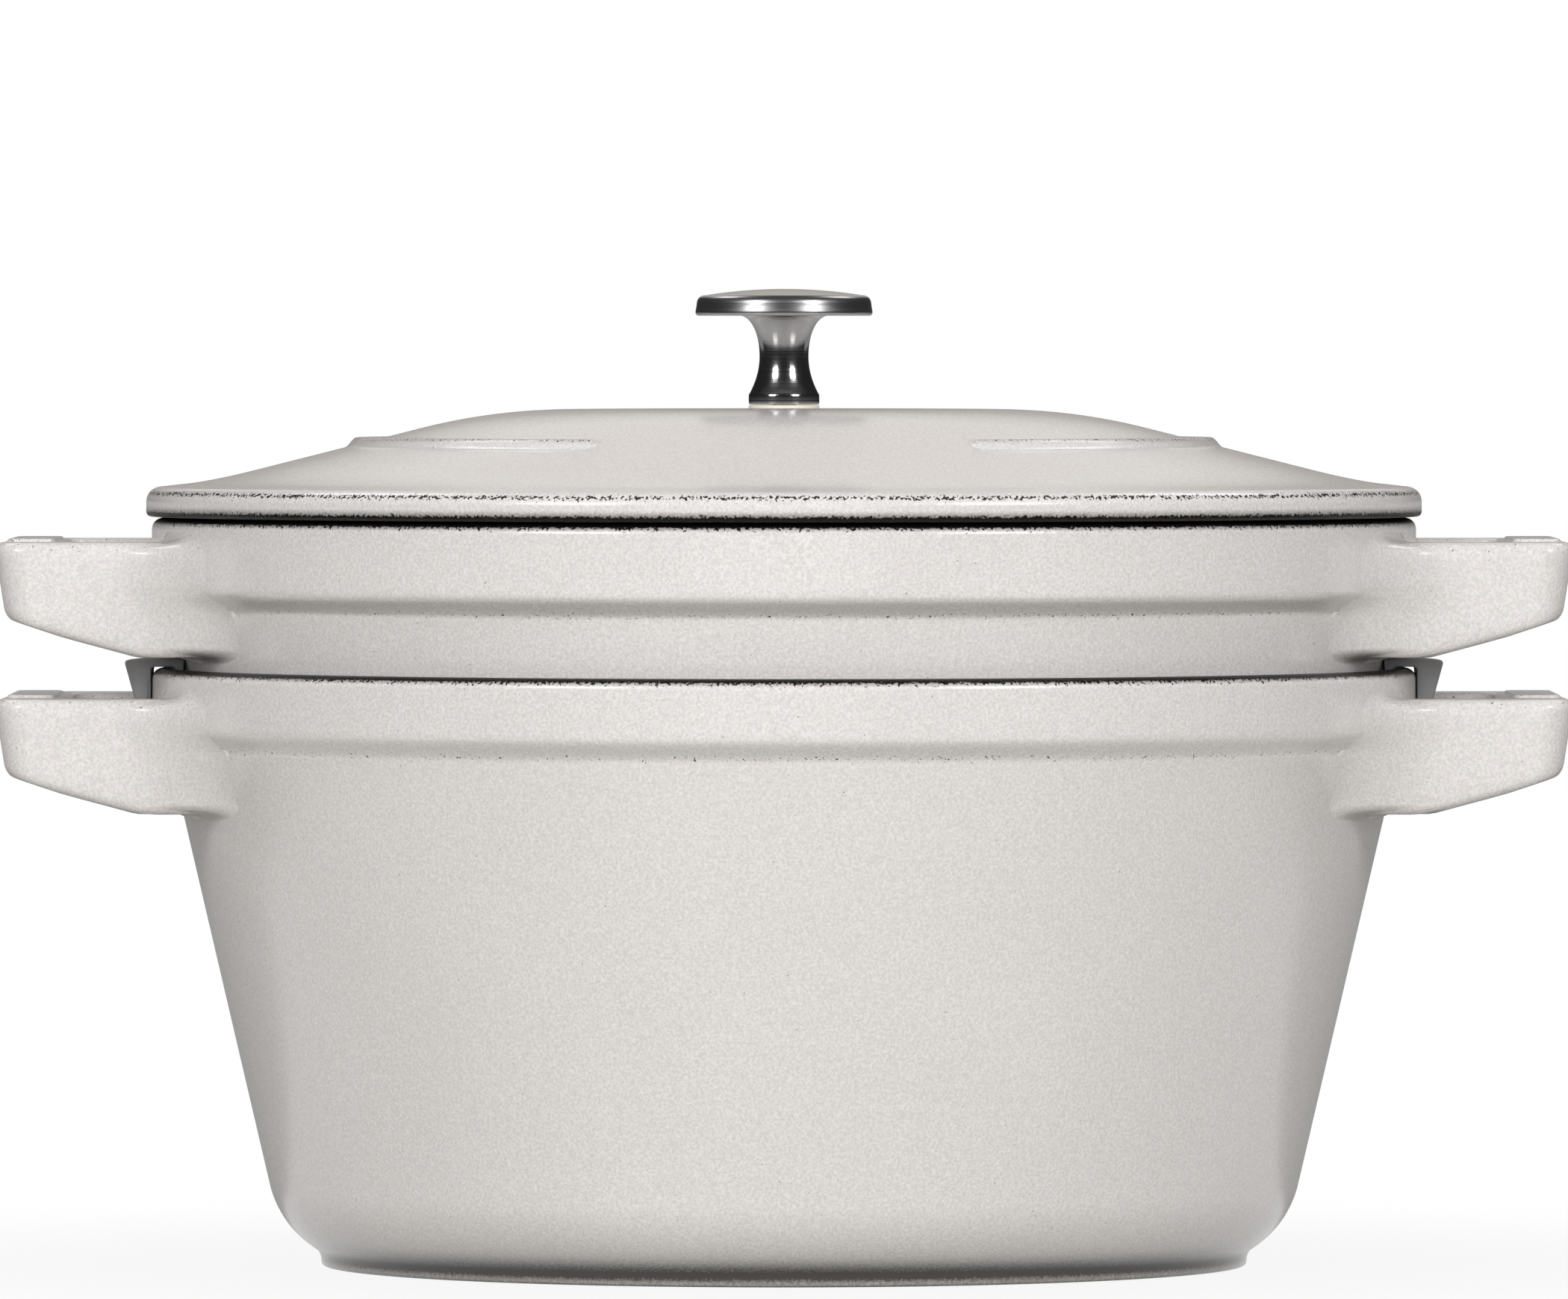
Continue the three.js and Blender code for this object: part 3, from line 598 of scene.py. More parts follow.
class HandleHalf:
    """Half of a handle on +X, from its root at -Y to the middle of its bar, in rows of one section.

    Its underside rises outwards from a level stretch beside the rim, and its end face leans in.
    """

    def __init__(self, vessel, handle):
        self.vessel = vessel
        self.handle = handle
        section = handle_section()
        self.across, self.down, self.edge_across, self.edge_down = section[:4]
        self.normal_across, self.normal_down = section[4:]
        self.end = RIM_RADIUS + handle.reach
        self.bar_in = self.end - handle.bar
        self.level = RIM_RADIUS + handle.root_flat
        self.fillet = (
            handle.flare * np.minimum(self.normal_across, 0) ** 2
            + handle.inner_fillet * np.maximum(self.normal_across, 0) ** 2
            + handle.top_fillet * np.minimum(self.normal_down, 0) ** 2
            + handle.under_fillet * np.maximum(self.normal_down, 0) ** 2
        )
        self.arm_y = -handle.half_width + self.across * handle.arm + self.edge_across * handle.edge
        self.arm_x = self.wall_x(self.arm_y, vessel.handle_top - self.depth(self.level)) + self.fillet

    def depth(self, x):
        """Depth under the top: a share of the height at x, which falls evenly past the level stretch."""
        handle = self.handle
        rise = (handle.root_height - handle.end_height) / (self.end - self.level)
        local = handle.root_height - np.maximum(x - self.level, 0) * rise
        return self.down * local + self.edge_down * handle.edge

    def wall_x(self, y, z):
        """Where the root meets the vessel, sqrt(r² - y²): its wall, or the web on the opening's side."""
        radius = self.vessel.outside_radius(z)
        web = np.maximum(RIM_RADIUS - self.handle.web_setback, radius)
        to_web = np.maximum(self.normal_across, 0) ** 2
        return np.sqrt((radius + (web - radius) * to_web) ** 2 - y ** 2)

    def root(self):
        """Root fillet: at turn f its size k stands k(1 - sin f) off the wall and k(1 - cos f) wider.

        It sinks a little under the wall as it meets it, and its first row lies buried there.
        """
        handle = self.handle
        turn_angle = np.linspace(np.pi / 2, 0, FILLET_ROWS)[:, None]
        sideways = np.where(self.normal_across < 0, handle.flare, handle.inner_fillet) * self.normal_across
        upright = np.where(self.normal_down < 0, handle.top_fillet, handle.under_fillet) * self.normal_down
        wider = 1 - np.cos(turn_angle)
        sink = FILLET_SINK * (turn_angle * 2 / np.pi) ** 2
        y = self.arm_y + wider * sideways
        z = self.vessel.handle_top - self.depth(self.arm_x) - wider * upright
        x = self.wall_x(y, z) + self.fillet * (1 - np.sin(turn_angle) - sink)
        rows = np.stack((x, y, z), axis=-1)
        return np.concatenate((rows[:1] - np.array((TUCK, 0, 0)), rows))

    def loop(self):
        """Straight arm, corner and bar, with the section laid between the outer and the inner edge."""
        handle = self.handle
        outer = edge_line(self.end, handle.corner - handle.half_width, handle.corner)
        hole_y = -handle.half_width + handle.arm + handle.hole_corner
        inwards = edge_line(self.bar_in, hole_y, handle.hole_corner) - outer
        unit = inwards / np.linalg.norm(inwards, axis=1, keepdims=True)
        edge = (self.edge_across * handle.edge)[:, None]
        plan = outer[:, None] + inwards[:, None] * self.across[:, None] + unit[:, None] * edge
        share = np.linspace(0, 1, ARM_ROWS + 2)[1:-1, None]
        arm_x = (1 - share) * self.arm_x + share * plan[0, :, 0]
        arm = np.stack((arm_x, np.broadcast_to(self.arm_y, arm_x.shape)), axis=-1)
        x, y = np.moveaxis(np.concatenate((arm, plan)), -1, 0)
        depth = self.depth(x)
        lean = np.clip((x - self.bar_in) / handle.bar, 0, 1) * depth * math.tan(handle.end_draft)
        return np.stack((x - lean, y, self.vessel.handle_top - depth), axis=-1)


def handle_shells(vessel, handle):
    """A handle on +X, closed from its half and the half's mirror image, and the panel on its bar."""
    half = HandleHalf(vessel, handle)
    rows = np.concatenate((half.root(), half.loop()))
    points = np.concatenate((rows, rows[-2::-1] * (1, -1, 1)))
    points[..., 2] += vessel.base
    upper_edge = (half.normal_down < -EDGE_NORMAL) * (np.abs(half.normal_across) > EDGE_NORMAL)
    casting = Shell(points, past_rim=FAR_OUTSIDE, thin=0.3 * upper_edge, worn=0)
    return [casting, pad_shell(vessel, handle)]


def pad_shell(vessel, handle):
    """Plain raised panel on a bar: a round-cornered outline drawn in by steps as it rises, and closed."""
    end = RIM_RADIUS + handle.reach
    far = end - handle.pad_margin
    close = end - handle.bar + handle.pad_margin
    half = handle.pad_length / 2
    plan = outline(((far, -half), (far, half), (close, half), (close, -half)), handle.pad_corner, 8)
    middle = np.array(((far + close) / 2, 0))
    size = np.array((far - close, 2 * half)) / 2
    turn_angle = np.linspace(0, np.pi / 2, 6)
    inset = np.concatenate(([0], handle.pad_height * (1 - np.cos(turn_angle)), [(far - close) * 0.3]))
    rise = np.concatenate(([-handle.edge], handle.pad_height * np.sin(turn_angle), [handle.pad_height]))
    scale = 1 - inset[:, None, None] / size
    flat = middle + (plan - middle) * scale
    height = np.broadcast_to(rise[:, None], flat.shape[:2]) + vessel.handle_top + vessel.base
    points = np.concatenate((flat, height[..., None]), axis=-1)
    edge_specks = 0.5 * near(inset[:, None] - handle.pad_height / 2, 0.4 * MM)
    return Shell(points, past_rim=FAR_OUTSIDE, thin=edge_specks, worn=0)


# Rim clips

CLIP_POINTS = 240
CLIP_ROWS = 16
CLIP_END_ROWS = 5


def clip_section(clip, wall):
    """Saddle section as radius and height: tongue, slot for the rim, wedge-shaped leg and crowned top."""
    tip = CLIP_LOW.z
    top = CLIP_HIGH.z
    under = top - clip.bridge
    tongue_out = RIM_RADIUS - wall - clip.fit
    tongue_in = tongue_out - clip.tongue
    leg_in = RIM_RADIUS + clip.fit
    leg_out = leg_in + clip.leg_top

    # Each corner, and its round in millimetres
    corners = (
        ((tongue_in, tip), 0.7),
        ((tongue_out, tip), 0.6),
        ((tongue_out, under), 0.9),
        ((leg_in, under), 0.9),
        ((leg_in, tip), 0.5),
        ((leg_in + clip.leg_tip, tip), 0.6),
        ((leg_out, top - clip.edge_drop), 0.8),
        ((RIM_RADIUS - wall / 2, top), 3.2),
        ((tongue_in - clip.nose, top - clip.nose_drop), 0.6),
        ((tongue_in, under - clip.bridge), 1.4),
    )
    rounds = np.array([size for _, size in corners]) * MM
    return even(outline([point for point, _ in corners], rounds, 12), CLIP_POINTS)


def clip_shell(clip, wall):
    """Clip on +X: the section carried along the rim, its ends drawn in to a round edge.

    Each point travels along the rim by half the clip's width at its own height, which tapers downwards
    and ends in round lower corners.
    """
    section = clip_section(clip, wall)
    ahead = np.roll(section, -1, axis=0) - np.roll(section, 1, axis=0)
    ahead /= np.linalg.norm(ahead, axis=1, keepdims=True)
    outwards = np.column_stack((ahead[:, 1], -ahead[:, 0]))
    straight_end = CLIP_LOW.z + clip.corner
    taper_start = CLIP_HIGH.z - 2 * clip.bridge
    height = section[:, 1]
    taper = clip.taper * np.clip((taper_start - height) / (taper_start - straight_end), 0, 1)
    corner = np.clip((straight_end - height) / clip.corner, 0, 1)
    half = clip.span / 2 - taper - clip.corner * (1 - np.sqrt(1 - corner ** 2))
    turn_angle = np.linspace(0, np.pi / 2, CLIP_END_ROWS)
    end_inset = clip.edge * (1 - np.sin(turn_angle))
    end_back = clip.edge * (1 - np.cos(turn_angle))
    middle = np.linspace(-1, 1, CLIP_ROWS)[1:-1]
    share = np.concatenate((-np.ones(CLIP_END_ROWS), middle, np.ones(CLIP_END_ROWS)))[:, None]
    back = np.concatenate((end_back, np.full(len(middle), clip.edge), end_back[::-1]))[:, None]
    inset = np.concatenate((end_inset, np.zeros(len(middle)), end_inset[::-1]))[:, None, None]
    radius, z = np.moveaxis(section - inset * outwards, -1, 0)
    angle = share * (half - back) / (RIM_RADIUS - wall / 2)
    return Shell(np.stack((radius * np.cos(angle), radius * np.sin(angle), z), axis=-1))


# Lid

LIP_FILLET = 1 * MM
UNDER_BEND = 7 * MM

# Hollow shoulder: its reach on the flange and on the slope, and its share of the flange's rise
SHOULDER_OUT = 6 * MM
SHOULDER_IN = 10 * MM
SHOULDER_SHARE = 0.53

# Rib: rows over it, the share of its width they reach to each side, and how softly it ends
RIB_ROWS = 44
RIB_MARGIN = 0.7
RIB_END = 0.8 * MM

# Degrees to each side of the rib's end where the lid's columns stand closer
CLOSE_DEGREES = 2


def lid_heights(lid):
    """Flange radius, radius and height of the slope's foot and of its crown, and the plateau's height."""
    flange = LID_HIGH.y
    foot = (flange - lid.flange_width, lid.flange_edge + lid.flange_round + lid.flange_rise)
    crown_radius = lid.plateau + lid.crown * math.sin(lid.slope)
    crown = (crown_radius, foot[1] + (foot[0] - crown_radius) * math.tan(lid.slope))
    return flange, foot, crown, crown[1] + lid.crown * (1 - math.cos(lid.slope))


def lid_profile(lid):
    """Closed profile: underside from the hole outwards, lip, flange, slope, crown and hole."""
    flange, foot, crown, plateau = lid_heights(lid)
    lean = math.radians(90) - lid.slope
    centre = (lid.plateau, plateau - lid.crown)
    lip = flange - lid.lip_inset
    tip = lip - lid.lip_taper
    lip_in = tip - lid.lip_width
    low = -lid.lip_depth
    slope = math.tan(lid.slope)

    def on_slope(radius):
        return (radius, foot[1] + (foot[0] - radius) * slope)

    def under_slope(radius):
        return (radius, on_slope(radius)[1] - lid.wall / math.cos(lid.slope))

    under_crown = under_slope(crown[0] - lid.wall * math.sin(lid.slope))
    under_foot = under_slope(lip_in - UNDER_BEND)
    lip_start = (lip, -LIP_FILLET)
    lip_end = (lip + LIP_FILLET, 0)
    top_in = flange - lid.flange_round
    flange_top = lid.flange_edge + lid.flange_round
    flange_in = (foot[0] + SHOULDER_OUT, foot[1] - lid.flange_rise * SHOULDER_SHARE)
    slope_start = on_slope(foot[0] - SHOULDER_IN)
    rib_out = on_slope(lid.rib_radius + RIB_MARGIN * lid.rib_width)
    rib_in = on_slope(lid.rib_radius - RIB_MARGIN * lid.rib_width)
    return np.concatenate((
        span((lid.hole, plateau - lid.wall), (lid.plateau, plateau - lid.wall), 14),
        arc(centre, lid.crown - lid.wall, np.pi / 2, lean, 14),
        span(under_crown, under_foot, 14),
        bend(under_foot, under_slope(lip_in), (lip_in, low / 2), 10),
        span((lip_in, low / 2), (lip_in, low + lid.lip_round), 3),
        bend((lip_in, low + lid.lip_round), (lip_in, low), (lip_in + lid.lip_round, low), 8),
        span((lip_in + lid.lip_round, low), (tip - lid.lip_round, low), 3),
        bend((tip - lid.lip_round, low), (tip, low), (tip, low + lid.lip_round), 8),
        span((tip, low + lid.lip_round), lip_start, 5),
        bend(lip_start, (lip, 0), lip_end, 5),
        span(lip_end, (flange - lid.flange_foot, 0), 6),
        bend((flange - lid.flange_foot, 0), (flange, 0), (flange, lid.flange_foot), 6),
        span((flange, lid.flange_foot), (flange, lid.flange_edge), 6),
        arc((top_in, lid.flange_edge), lid.flange_round, 0, np.pi / 2, 14),
        span((top_in, flange_top), flange_in, 6),
        bend(flange_in, foot, slope_start, 16),
        span(slope_start, rib_out, 10),
        span(rib_out, rib_in, RIB_ROWS),
        span(rib_in, crown, 6),
        arc(centre, lid.crown, lean, np.pi / 2, 16),
        span((lid.plateau, plateau), (lid.hole, plateau), 16),
        span((lid.hole, plateau), (lid.hole, plateau - lid.wall), 3),
    ))


def lid_angles(lid):
    """Angles round the lid, closer together where the rib ends."""
    end = math.degrees(math.pi / 2 - lid.rib_gap)
    quarter = np.radians(np.concatenate((
        np.linspace(0, end - CLOSE_DEGREES, 46, endpoint=False),
        np.linspace(end - CLOSE_DEGREES, end + CLOSE_DEGREES, 14, endpoint=False),
        np.linspace(end + CLOSE_DEGREES, 90, 18),
    )))
    half = np.concatenate((quarter, np.pi - quarter[-2::-1]))
    return np.concatenate((half[:-1], np.pi + half[:-1]))


def lid_shell(lid):
    """Turned lid with a rib added on its slope.

    The rib is a terrace: its height falls evenly from a soft riser at its outer edge to nothing at its
    inner edge, and stops softly at its ends. past_rim is the distance inwards from the flange's lower edge.
    thin and worn peak along the flange's edges and on the rib's crest, where both are wear.
    """
    profile = lid_profile(lid)
    angles = lid_angles(lid)
    points = turned(profile, angles)
    row = np.arange(len(profile))[:, None]
    travel = along(profile)[:, None]
    low_edge = np.flatnonzero(np.isclose(profile[:, 0], LID_HIGH.y))[0]
    past_rim = travel[low_edge] - travel
    reach = profile[:, :1] - lid.rib_radius
    foot = lid.rib_width / 2
    terrace = lid.rib_width - lid.rib_riser
    across = np.maximum(reach + foot, 0) / terrace * (1 - smooth(foot - lid.rib_riser, foot, reach))
    aside = np.arctan2(np.abs(np.sin(angles)), np.abs(np.cos(angles)))
    to_end = (math.pi / 2 - lid.rib_gap - aside) * lid.rib_radius
    rib = across * smooth(-RIB_END, RIB_END, to_end) * (past_rim < 0)
    points[..., 2] += lid.rib_height * rib + LID_LOW.z + lid.lip_depth
    on_round = profile[:, 1:] >= lid.flange_edge + lid.flange_round * 0.6
    from_edge = travel - travel[on_round & (row > low_edge)][0]
    from_crest = reach - foot + 0.8 * lid.rib_riser
    edge_specks = 1.2 * near(from_edge, 0.8 * MM)
    rim_specks = 0.8 * near(past_rim, 0.5 * MM)
    crest_specks = 0.85 * near(from_crest, 0.6 * MM) * rib
    worn_rim = 0.6 * smooth(-1.4 * MM, 0, past_rim)
    worn_crest = 0.26 * near(from_crest, 0.7 * MM) * rib
    return Shell(
        points,
        ring=True,
        past_rim=past_rim,
        thin=edge_specks + rim_specks + crest_specks,
        worn=worn_rim + worn_crest,
    )


# Knob and gasket

KNOB_SECTORS = 128
KNOB_BASE_EDGE = 0.4 * MM
GASKET_EDGE = 0.25 * MM

# Share of the crown's radius at which its rows end and one face closes it
CROWN_CENTRE = 0.03


def knob_shell(knob):
    """Turned knob: bore, base ring, waisted neck, flat-bottomed cap with a leaning side and a crowned top.

    Below the waist the neck widens by the square of the distance from it, and above it by a quarter
    ellipse. The crown is a parabola. turning is the distance along the profile, and brushed is one on the
    cap, which is left less bright than the neck.
    """
    total = KNOB_HIGH.z - KNOB_LOW.z
    under = total - knob.cap_thickness
    crown = total - knob.crown
    shoulder = knob.cap_radius - knob.cap_lean
    crown_radius = shoulder - knob.shoulder
    base_in = knob.base_radius - KNOB_BASE_EDGE
    base_edge = (knob.base_radius, KNOB_BASE_EDGE)
    waist = knob.neck_radius
    under_end = (knob.cap_radius - knob.cap_edge, under)
    low = np.linspace(1, 0, 18, endpoint=False)
    lower_neck = np.column_stack((
        waist + (knob.base_radius - waist) * low ** 2,
        knob.waist_height - (knob.waist_height - knob.base_height) * low,
    ))
    high = np.sin(np.linspace(0, np.pi / 2, 26))
    upper_neck = np.column_stack((
        waist + knob.neck_flare * (1 - np.sqrt(1 - high ** 2)),
        knob.waist_height + (under - knob.waist_height) * high,
    ))
    top = np.linspace(1, CROWN_CENTRE, 18)
    side_low = (knob.cap_radius, under + knob.cap_edge)
    side_high = (shoulder, crown - knob.shoulder)
    profile = np.concatenate((
        span((knob.bore_radius, knob.bore_depth), (knob.bore_radius, 0), 4),
        span((knob.bore_radius, 0), (base_in, 0), 4),
        bend((base_in, 0), (knob.base_radius, 0), base_edge, 5),
        span(base_edge, (knob.base_radius, knob.base_height), 4),
        lower_neck,
        upper_neck,
        span((waist + knob.neck_flare, under), under_end, 10)[1:],
        bend(under_end, (knob.cap_radius, under), side_low, 6),
        span(side_low, side_high, 6),
        bend(side_high, (shoulder - knob.cap_lean * 0.2, crown), (crown_radius, crown), 10),
        np.column_stack((crown_radius * top, crown + knob.crown * (1 - top ** 2))),
    ))
    points = turned(profile, circle(KNOB_SECTORS))
    points[..., 2] += KNOB_LOW.z
    under_cap = smooth(waist + knob.neck_flare, knob.cap_radius, profile[:, :1])
    brushed = np.maximum(under_cap, profile[:, 1:] > under)
    return Shell(points, turning=along(profile)[:, None], brushed=brushed)


def gasket_shell(hole):
    """Flat ring under the knob with softened edges."""
    outer = GASKET_HIGH.y
    low, high = GASKET_LOW.z, GASKET_HIGH.z
    section = outline(((hole, low), (outer, low), (outer, high), (hole, high)), GASKET_EDGE, 6)
    return Shell(turned(section, circle(KNOB_SECTORS)), ring=True)


# Finishes


def node(tree, kind, inputs, **settings):
    """Adds a node, sets its options, then links or fills the inputs named.

    A node among the inputs stands for its first output.
    """
    made = tree.nodes.new(kind)
    for key, value in settings.items():
        setattr(made, key, value)
    for key, value in inputs.items():
        source = value.outputs[0] if isinstance(value, Node) else value
        if isinstance(source, NodeSocket):
            tree.links.new(source, made.inputs[key])
        else:
            made.inputs[key].default_value = source
    return made


def per_metre(millimetres):
    """Scale of a pattern whose features are this many millimetres across."""
    return 1 / (millimetres * MM)


def blank_material(name):
    """New material with an empty node tree."""
    material = bpy.data.materials.new(name)
    material.use_nodes = True
    material.node_tree.nodes.clear()
    return material


def shown(tree, shader):
    """Sends a shader to the material's output."""
    node(tree, "ShaderNodeOutputMaterial", {"Surface": shader})


def opaque(colour_value):
    """A colour with full alpha, as sockets take it."""
    return (*colour_value, 1)


# Patterns of the enamel: the size of a feature in millimetres and the detail
# The real grains are about 0.3 mm: drawn at 0.55 mm, because finer ones blur away in the render
ENAMEL_PATTERNS = {
    "grain": (0.55, 2),
    "peel": (5, 1),
    "cloud": (45, 1),
    "ragged": (0.6, 3),
    "speck": (0.6, 2),
}
RAGGED_WIDTH = 1.8 * MM
LINING_EDGE = 0.2 * MM


def enamel_material(colours):
    """Fired enamel on cast iron: satin gloss, fine darker grains and a faint orange peel.

    Black enamel lines the inside with a ragged edge at the rim. Where the coat runs thin on an edge,
    specks of bare iron show. Where worn is high the grains go over to the iron colour: as wear
    at the rims, and as painted shade in the foot's groove, on its ring and along its lower edge.
    """
    name = "Fired enamel on cast iron"
    if name in bpy.data.materials:
        return bpy.data.materials[name]
    material = blank_material(name)
    tree = material.node_tree
    place = node(tree, "ShaderNodeTexCoord", {}).outputs["Object"]
    marks = {
        key: node(tree, "ShaderNodeAttribute", {}, attribute_name=key).outputs["Fac"]
        for key in ("past_rim", "thin", "worn")
    }
    noise = {
        key: node(tree, "ShaderNodeTexNoise", {"Vector": place, "Scale": per_metre(size), "Detail": detail})
        for key, (size, detail) in ENAMEL_PATTERNS.items()
    }

    # The lining starts where the distance past the rim, pushed about by the ragged pattern, turns inwards
    reach = node(tree, "ShaderNodeMath", {
        0: noise["ragged"], 1: RAGGED_WIDTH, 2: marks["past_rim"],
    }, operation="MULTIPLY_ADD")
    lined = node(tree, "ShaderNodeMapRange", {
        "Value": reach,
        "From Min": RAGGED_WIDTH / 2 - LINING_EDGE,
        "From Max": RAGGED_WIDTH / 2 + LINING_EDGE,
    })

    # Iron shows in specks where the coat is thin, and grain by grain where worn is high: wear at the rims,
    # painted shade round the foot
    bared = node(tree, "ShaderNodeMath", {
        0: marks["thin"], 1: 0.24, 2: noise["speck"],
    }, operation="MULTIPLY_ADD")
    bare = node(tree, "ShaderNodeMapRange", {"Value": bared, "From Min": 0.74, "From Max": 0.8})
    grainy = node(tree, "ShaderNodeMapRange", {"Value": noise["grain"], "To Min": 0.7, "To Max": 1.3})
    wear_and_shade_grains = node(tree, "ShaderNodeMath", {0: marks["worn"], 1: grainy}, operation="MULTIPLY")
    iron_specks_and_shade = node(tree, "ShaderNodeMath", {0: bare, 1: wear_and_shade_grains}, operation="MAXIMUM")

    # The grey goes over to its flecks, drifts a little across the casting, then gives way to the iron
    # colour, which round the foot is painted shade
    fleck = node(tree, "ShaderNodeMapRange", {"Value": noise["grain"], "From Min": 0.3, "From Max": 0.7})
    drift = node(tree, "ShaderNodeMath", {0: noise["cloud"], 1: 0.3, 2: fleck}, operation="MULTIPLY_ADD")
    grey = node(tree, "ShaderNodeMix", {
        "Factor": drift, "A": opaque(colours.enamel), "B": opaque(colours.enamel_fleck),
    }, data_type="RGBA", clamp_factor=True)
    speckled = node(tree, "ShaderNodeMix", {
        "Factor": iron_specks_and_shade, "A": grey.outputs["Result"], "B": opaque(colours.iron),
    }, data_type="RGBA", clamp_factor=True)

    # Outside, the orange peel stands over the grain, and inside, the grain alone gives a coarse tooth
    relief = node(tree, "ShaderNodeMath", {
        0: noise["peel"], 1: 3, 2: noise["grain"],
    }, operation="MULTIPLY_ADD")
    peeled = node(tree, "ShaderNodeBump", {"Height": relief, "Strength": 0.3, "Distance": 0.03 * MM})
    toothed = node(tree, "ShaderNodeBump", {"Height": noise["grain"], "Strength": 1, "Distance": 0.16 * MM})
    outside = node(tree, "ShaderNodeBsdfPrincipled", {
        "Base Color": speckled.outputs["Result"], "Roughness": 0.2, "Normal": peeled, "IOR": 1.5,
    })
    inside = node(tree, "ShaderNodeBsdfPrincipled", {
        "Base Color": opaque(colours.lining), "Roughness": 0.34, "Normal": toothed, "IOR": 1.5,
        "Specular IOR Level": 0.14,
    })
    shown(tree, node(tree, "ShaderNodeMixShader", {0: lined, 1: outside, 2: inside}))
    return material


def steel_material(colours):
    """Turned stainless steel: bright, with fine rings left by the tool along the profile.

    The cap is rougher than the neck. Tool marks are about 0.1 mm apart: drawn at 0.35 mm so that they show.
    """
    material = blank_material("Turned stainless steel")
    tree = material.node_tree
    travel = node(tree, "ShaderNodeAttribute", {}, attribute_name="turning").outputs["Fac"]
    brushed = node(tree, "ShaderNodeAttribute", {}, attribute_name="brushed").outputs["Fac"]
    rings = node(tree, "ShaderNodeTexNoise", {
        "W": travel, "Scale": per_metre(0.35), "Detail": 2,
    }, noise_dimensions="1D")
    polish = node(tree, "ShaderNodeMapRange", {
        "Value": rings, "From Min": 0.3, "From Max": 0.7, "To Min": 0.12, "To Max": 0.22,
    })
    rough = node(tree, "ShaderNodeMath", {0: brushed, 1: 0.16, 2: polish}, operation="MULTIPLY_ADD")
    bump = node(tree, "ShaderNodeBump", {"Height": rings, "Strength": 0.12, "Distance": 0.02 * MM})
    shown(tree, node(tree, "ShaderNodeBsdfPrincipled", {
        "Base Color": opaque(colours.steel), "Metallic": 1, "Roughness": rough, "Normal": bump,
    }))
    return material


def fastener_material(colours):
    """Plain stainless steel of a stock screw and washer: dull, faintly cloudy."""
    material = blank_material("Plain stainless steel")
    tree = material.node_tree
    place = node(tree, "ShaderNodeTexCoord", {}).outputs["Object"]
    cloud = node(tree, "ShaderNodeTexNoise", {"Vector": place, "Scale": per_metre(2), "Detail": 3})
    rough = node(tree, "ShaderNodeMapRange", {"Value": cloud, "To Min": 0.22, "To Max": 0.42})
    shown(tree, node(tree, "ShaderNodeBsdfPrincipled", {
        "Base Color": opaque(colours.steel), "Metallic": 1, "Roughness": rough,
    }))
    return material


DUST_MM = 6
DUST_GAIN = 1.12
GRAIN_ROUGHNESS = 0.08


def rubber_material(name, base, roughness, grain_mm):
    """Moulded silicone: matt and even, with the fine grain of an eroded mould and a little pale dust."""
    material = blank_material(name)
    tree = material.node_tree
    place = node(tree, "ShaderNodeTexCoord", {}).outputs["Object"]
    grain = node(tree, "ShaderNodeTexNoise", {"Vector": place, "Scale": per_metre(grain_mm), "Detail": 2})
    dust = node(tree, "ShaderNodeTexNoise", {"Vector": place, "Scale": per_metre(DUST_MM), "Detail": 2})
    pale = [min(1, value * DUST_GAIN) for value in base]
    dusty = node(tree, "ShaderNodeMix", {
        "Factor": dust, "A": opaque(base), "B": opaque(pale),
    }, data_type="RGBA")
    rough = node(tree, "ShaderNodeMapRange", {
        "Value": grain, "To Min": roughness - GRAIN_ROUGHNESS, "To Max": roughness + GRAIN_ROUGHNESS,
    })
    bump = node(tree, "ShaderNodeBump", {"Height": grain, "Strength": 0.2, "Distance": 0.05 * MM})
    shown(tree, node(tree, "ShaderNodeBsdfPrincipled", {
        "Base Color": dusty.outputs["Result"], "Roughness": rough, "Normal": bump, "IOR": 1.42,
    }))
    return material


def seen_rays(tree):
    """One for rays from the camera, or that reach it by reflection or through glass, else zero."""
    path = node(tree, "ShaderNodeLightPath", {})
    mirrored = node(tree, "ShaderNodeMath", {
        0: path.outputs["Is Glossy Ray"], 1: path.outputs["Is Transmission Ray"],
    }, operation="MAXIMUM")
    return node(tree, "ShaderNodeMath", {
        0: path.outputs["Is Camera Ray"], 1: mirrored,
    }, operation="MAXIMUM")


FLOOR_REACH = 8
FLOOR_GAP = 0.05 * MM

# Distances between which the floor's own shade fades out, and how white it is at the nearer one
SHADOW_NEAR = 0.1
SHADOW_FAR = 0.34
NEAR_WHITE = 0.91


def floor_material(colours):
    """Matt floor that shows white. Near the object it keeps part of its true shade, so shadows stay.

    From below it is clear, so that the underside can be looked at.
    """
    material = blank_material("Matt white floor")
    tree = material.node_tree
    place = node(tree, "ShaderNodeTexCoord", {}).outputs["Object"]
    away = node(tree, "ShaderNodeVectorMath", {0: place}, operation="LENGTH").outputs["Value"]
    whiteness = node(tree, "ShaderNodeMapRange", {
        "Value": away, "From Min": SHADOW_NEAR, "From Max": SHADOW_FAR, "To Min": NEAR_WHITE, "To Max": 1,
    }, interpolation_type="SMOOTHSTEP")
    share = node(tree, "ShaderNodeMath", {0: whiteness, 1: seen_rays(tree)}, operation="MULTIPLY")
    matt = node(tree, "ShaderNodeBsdfDiffuse", {"Color": opaque(colours.floor)})
    white = node(tree, "ShaderNodeEmission", {"Color": (1, 1, 1, 1), "Strength": 1})
    top = node(tree, "ShaderNodeMixShader", {0: share, 1: matt, 2: white})
    below = node(tree, "ShaderNodeNewGeometry", {}).outputs["Backfacing"]
    clear = node(tree, "ShaderNodeBsdfTransparent", {})
    shown(tree, node(tree, "ShaderNodeMixShader", {0: below, 1: top, 2: clear}))
    return material


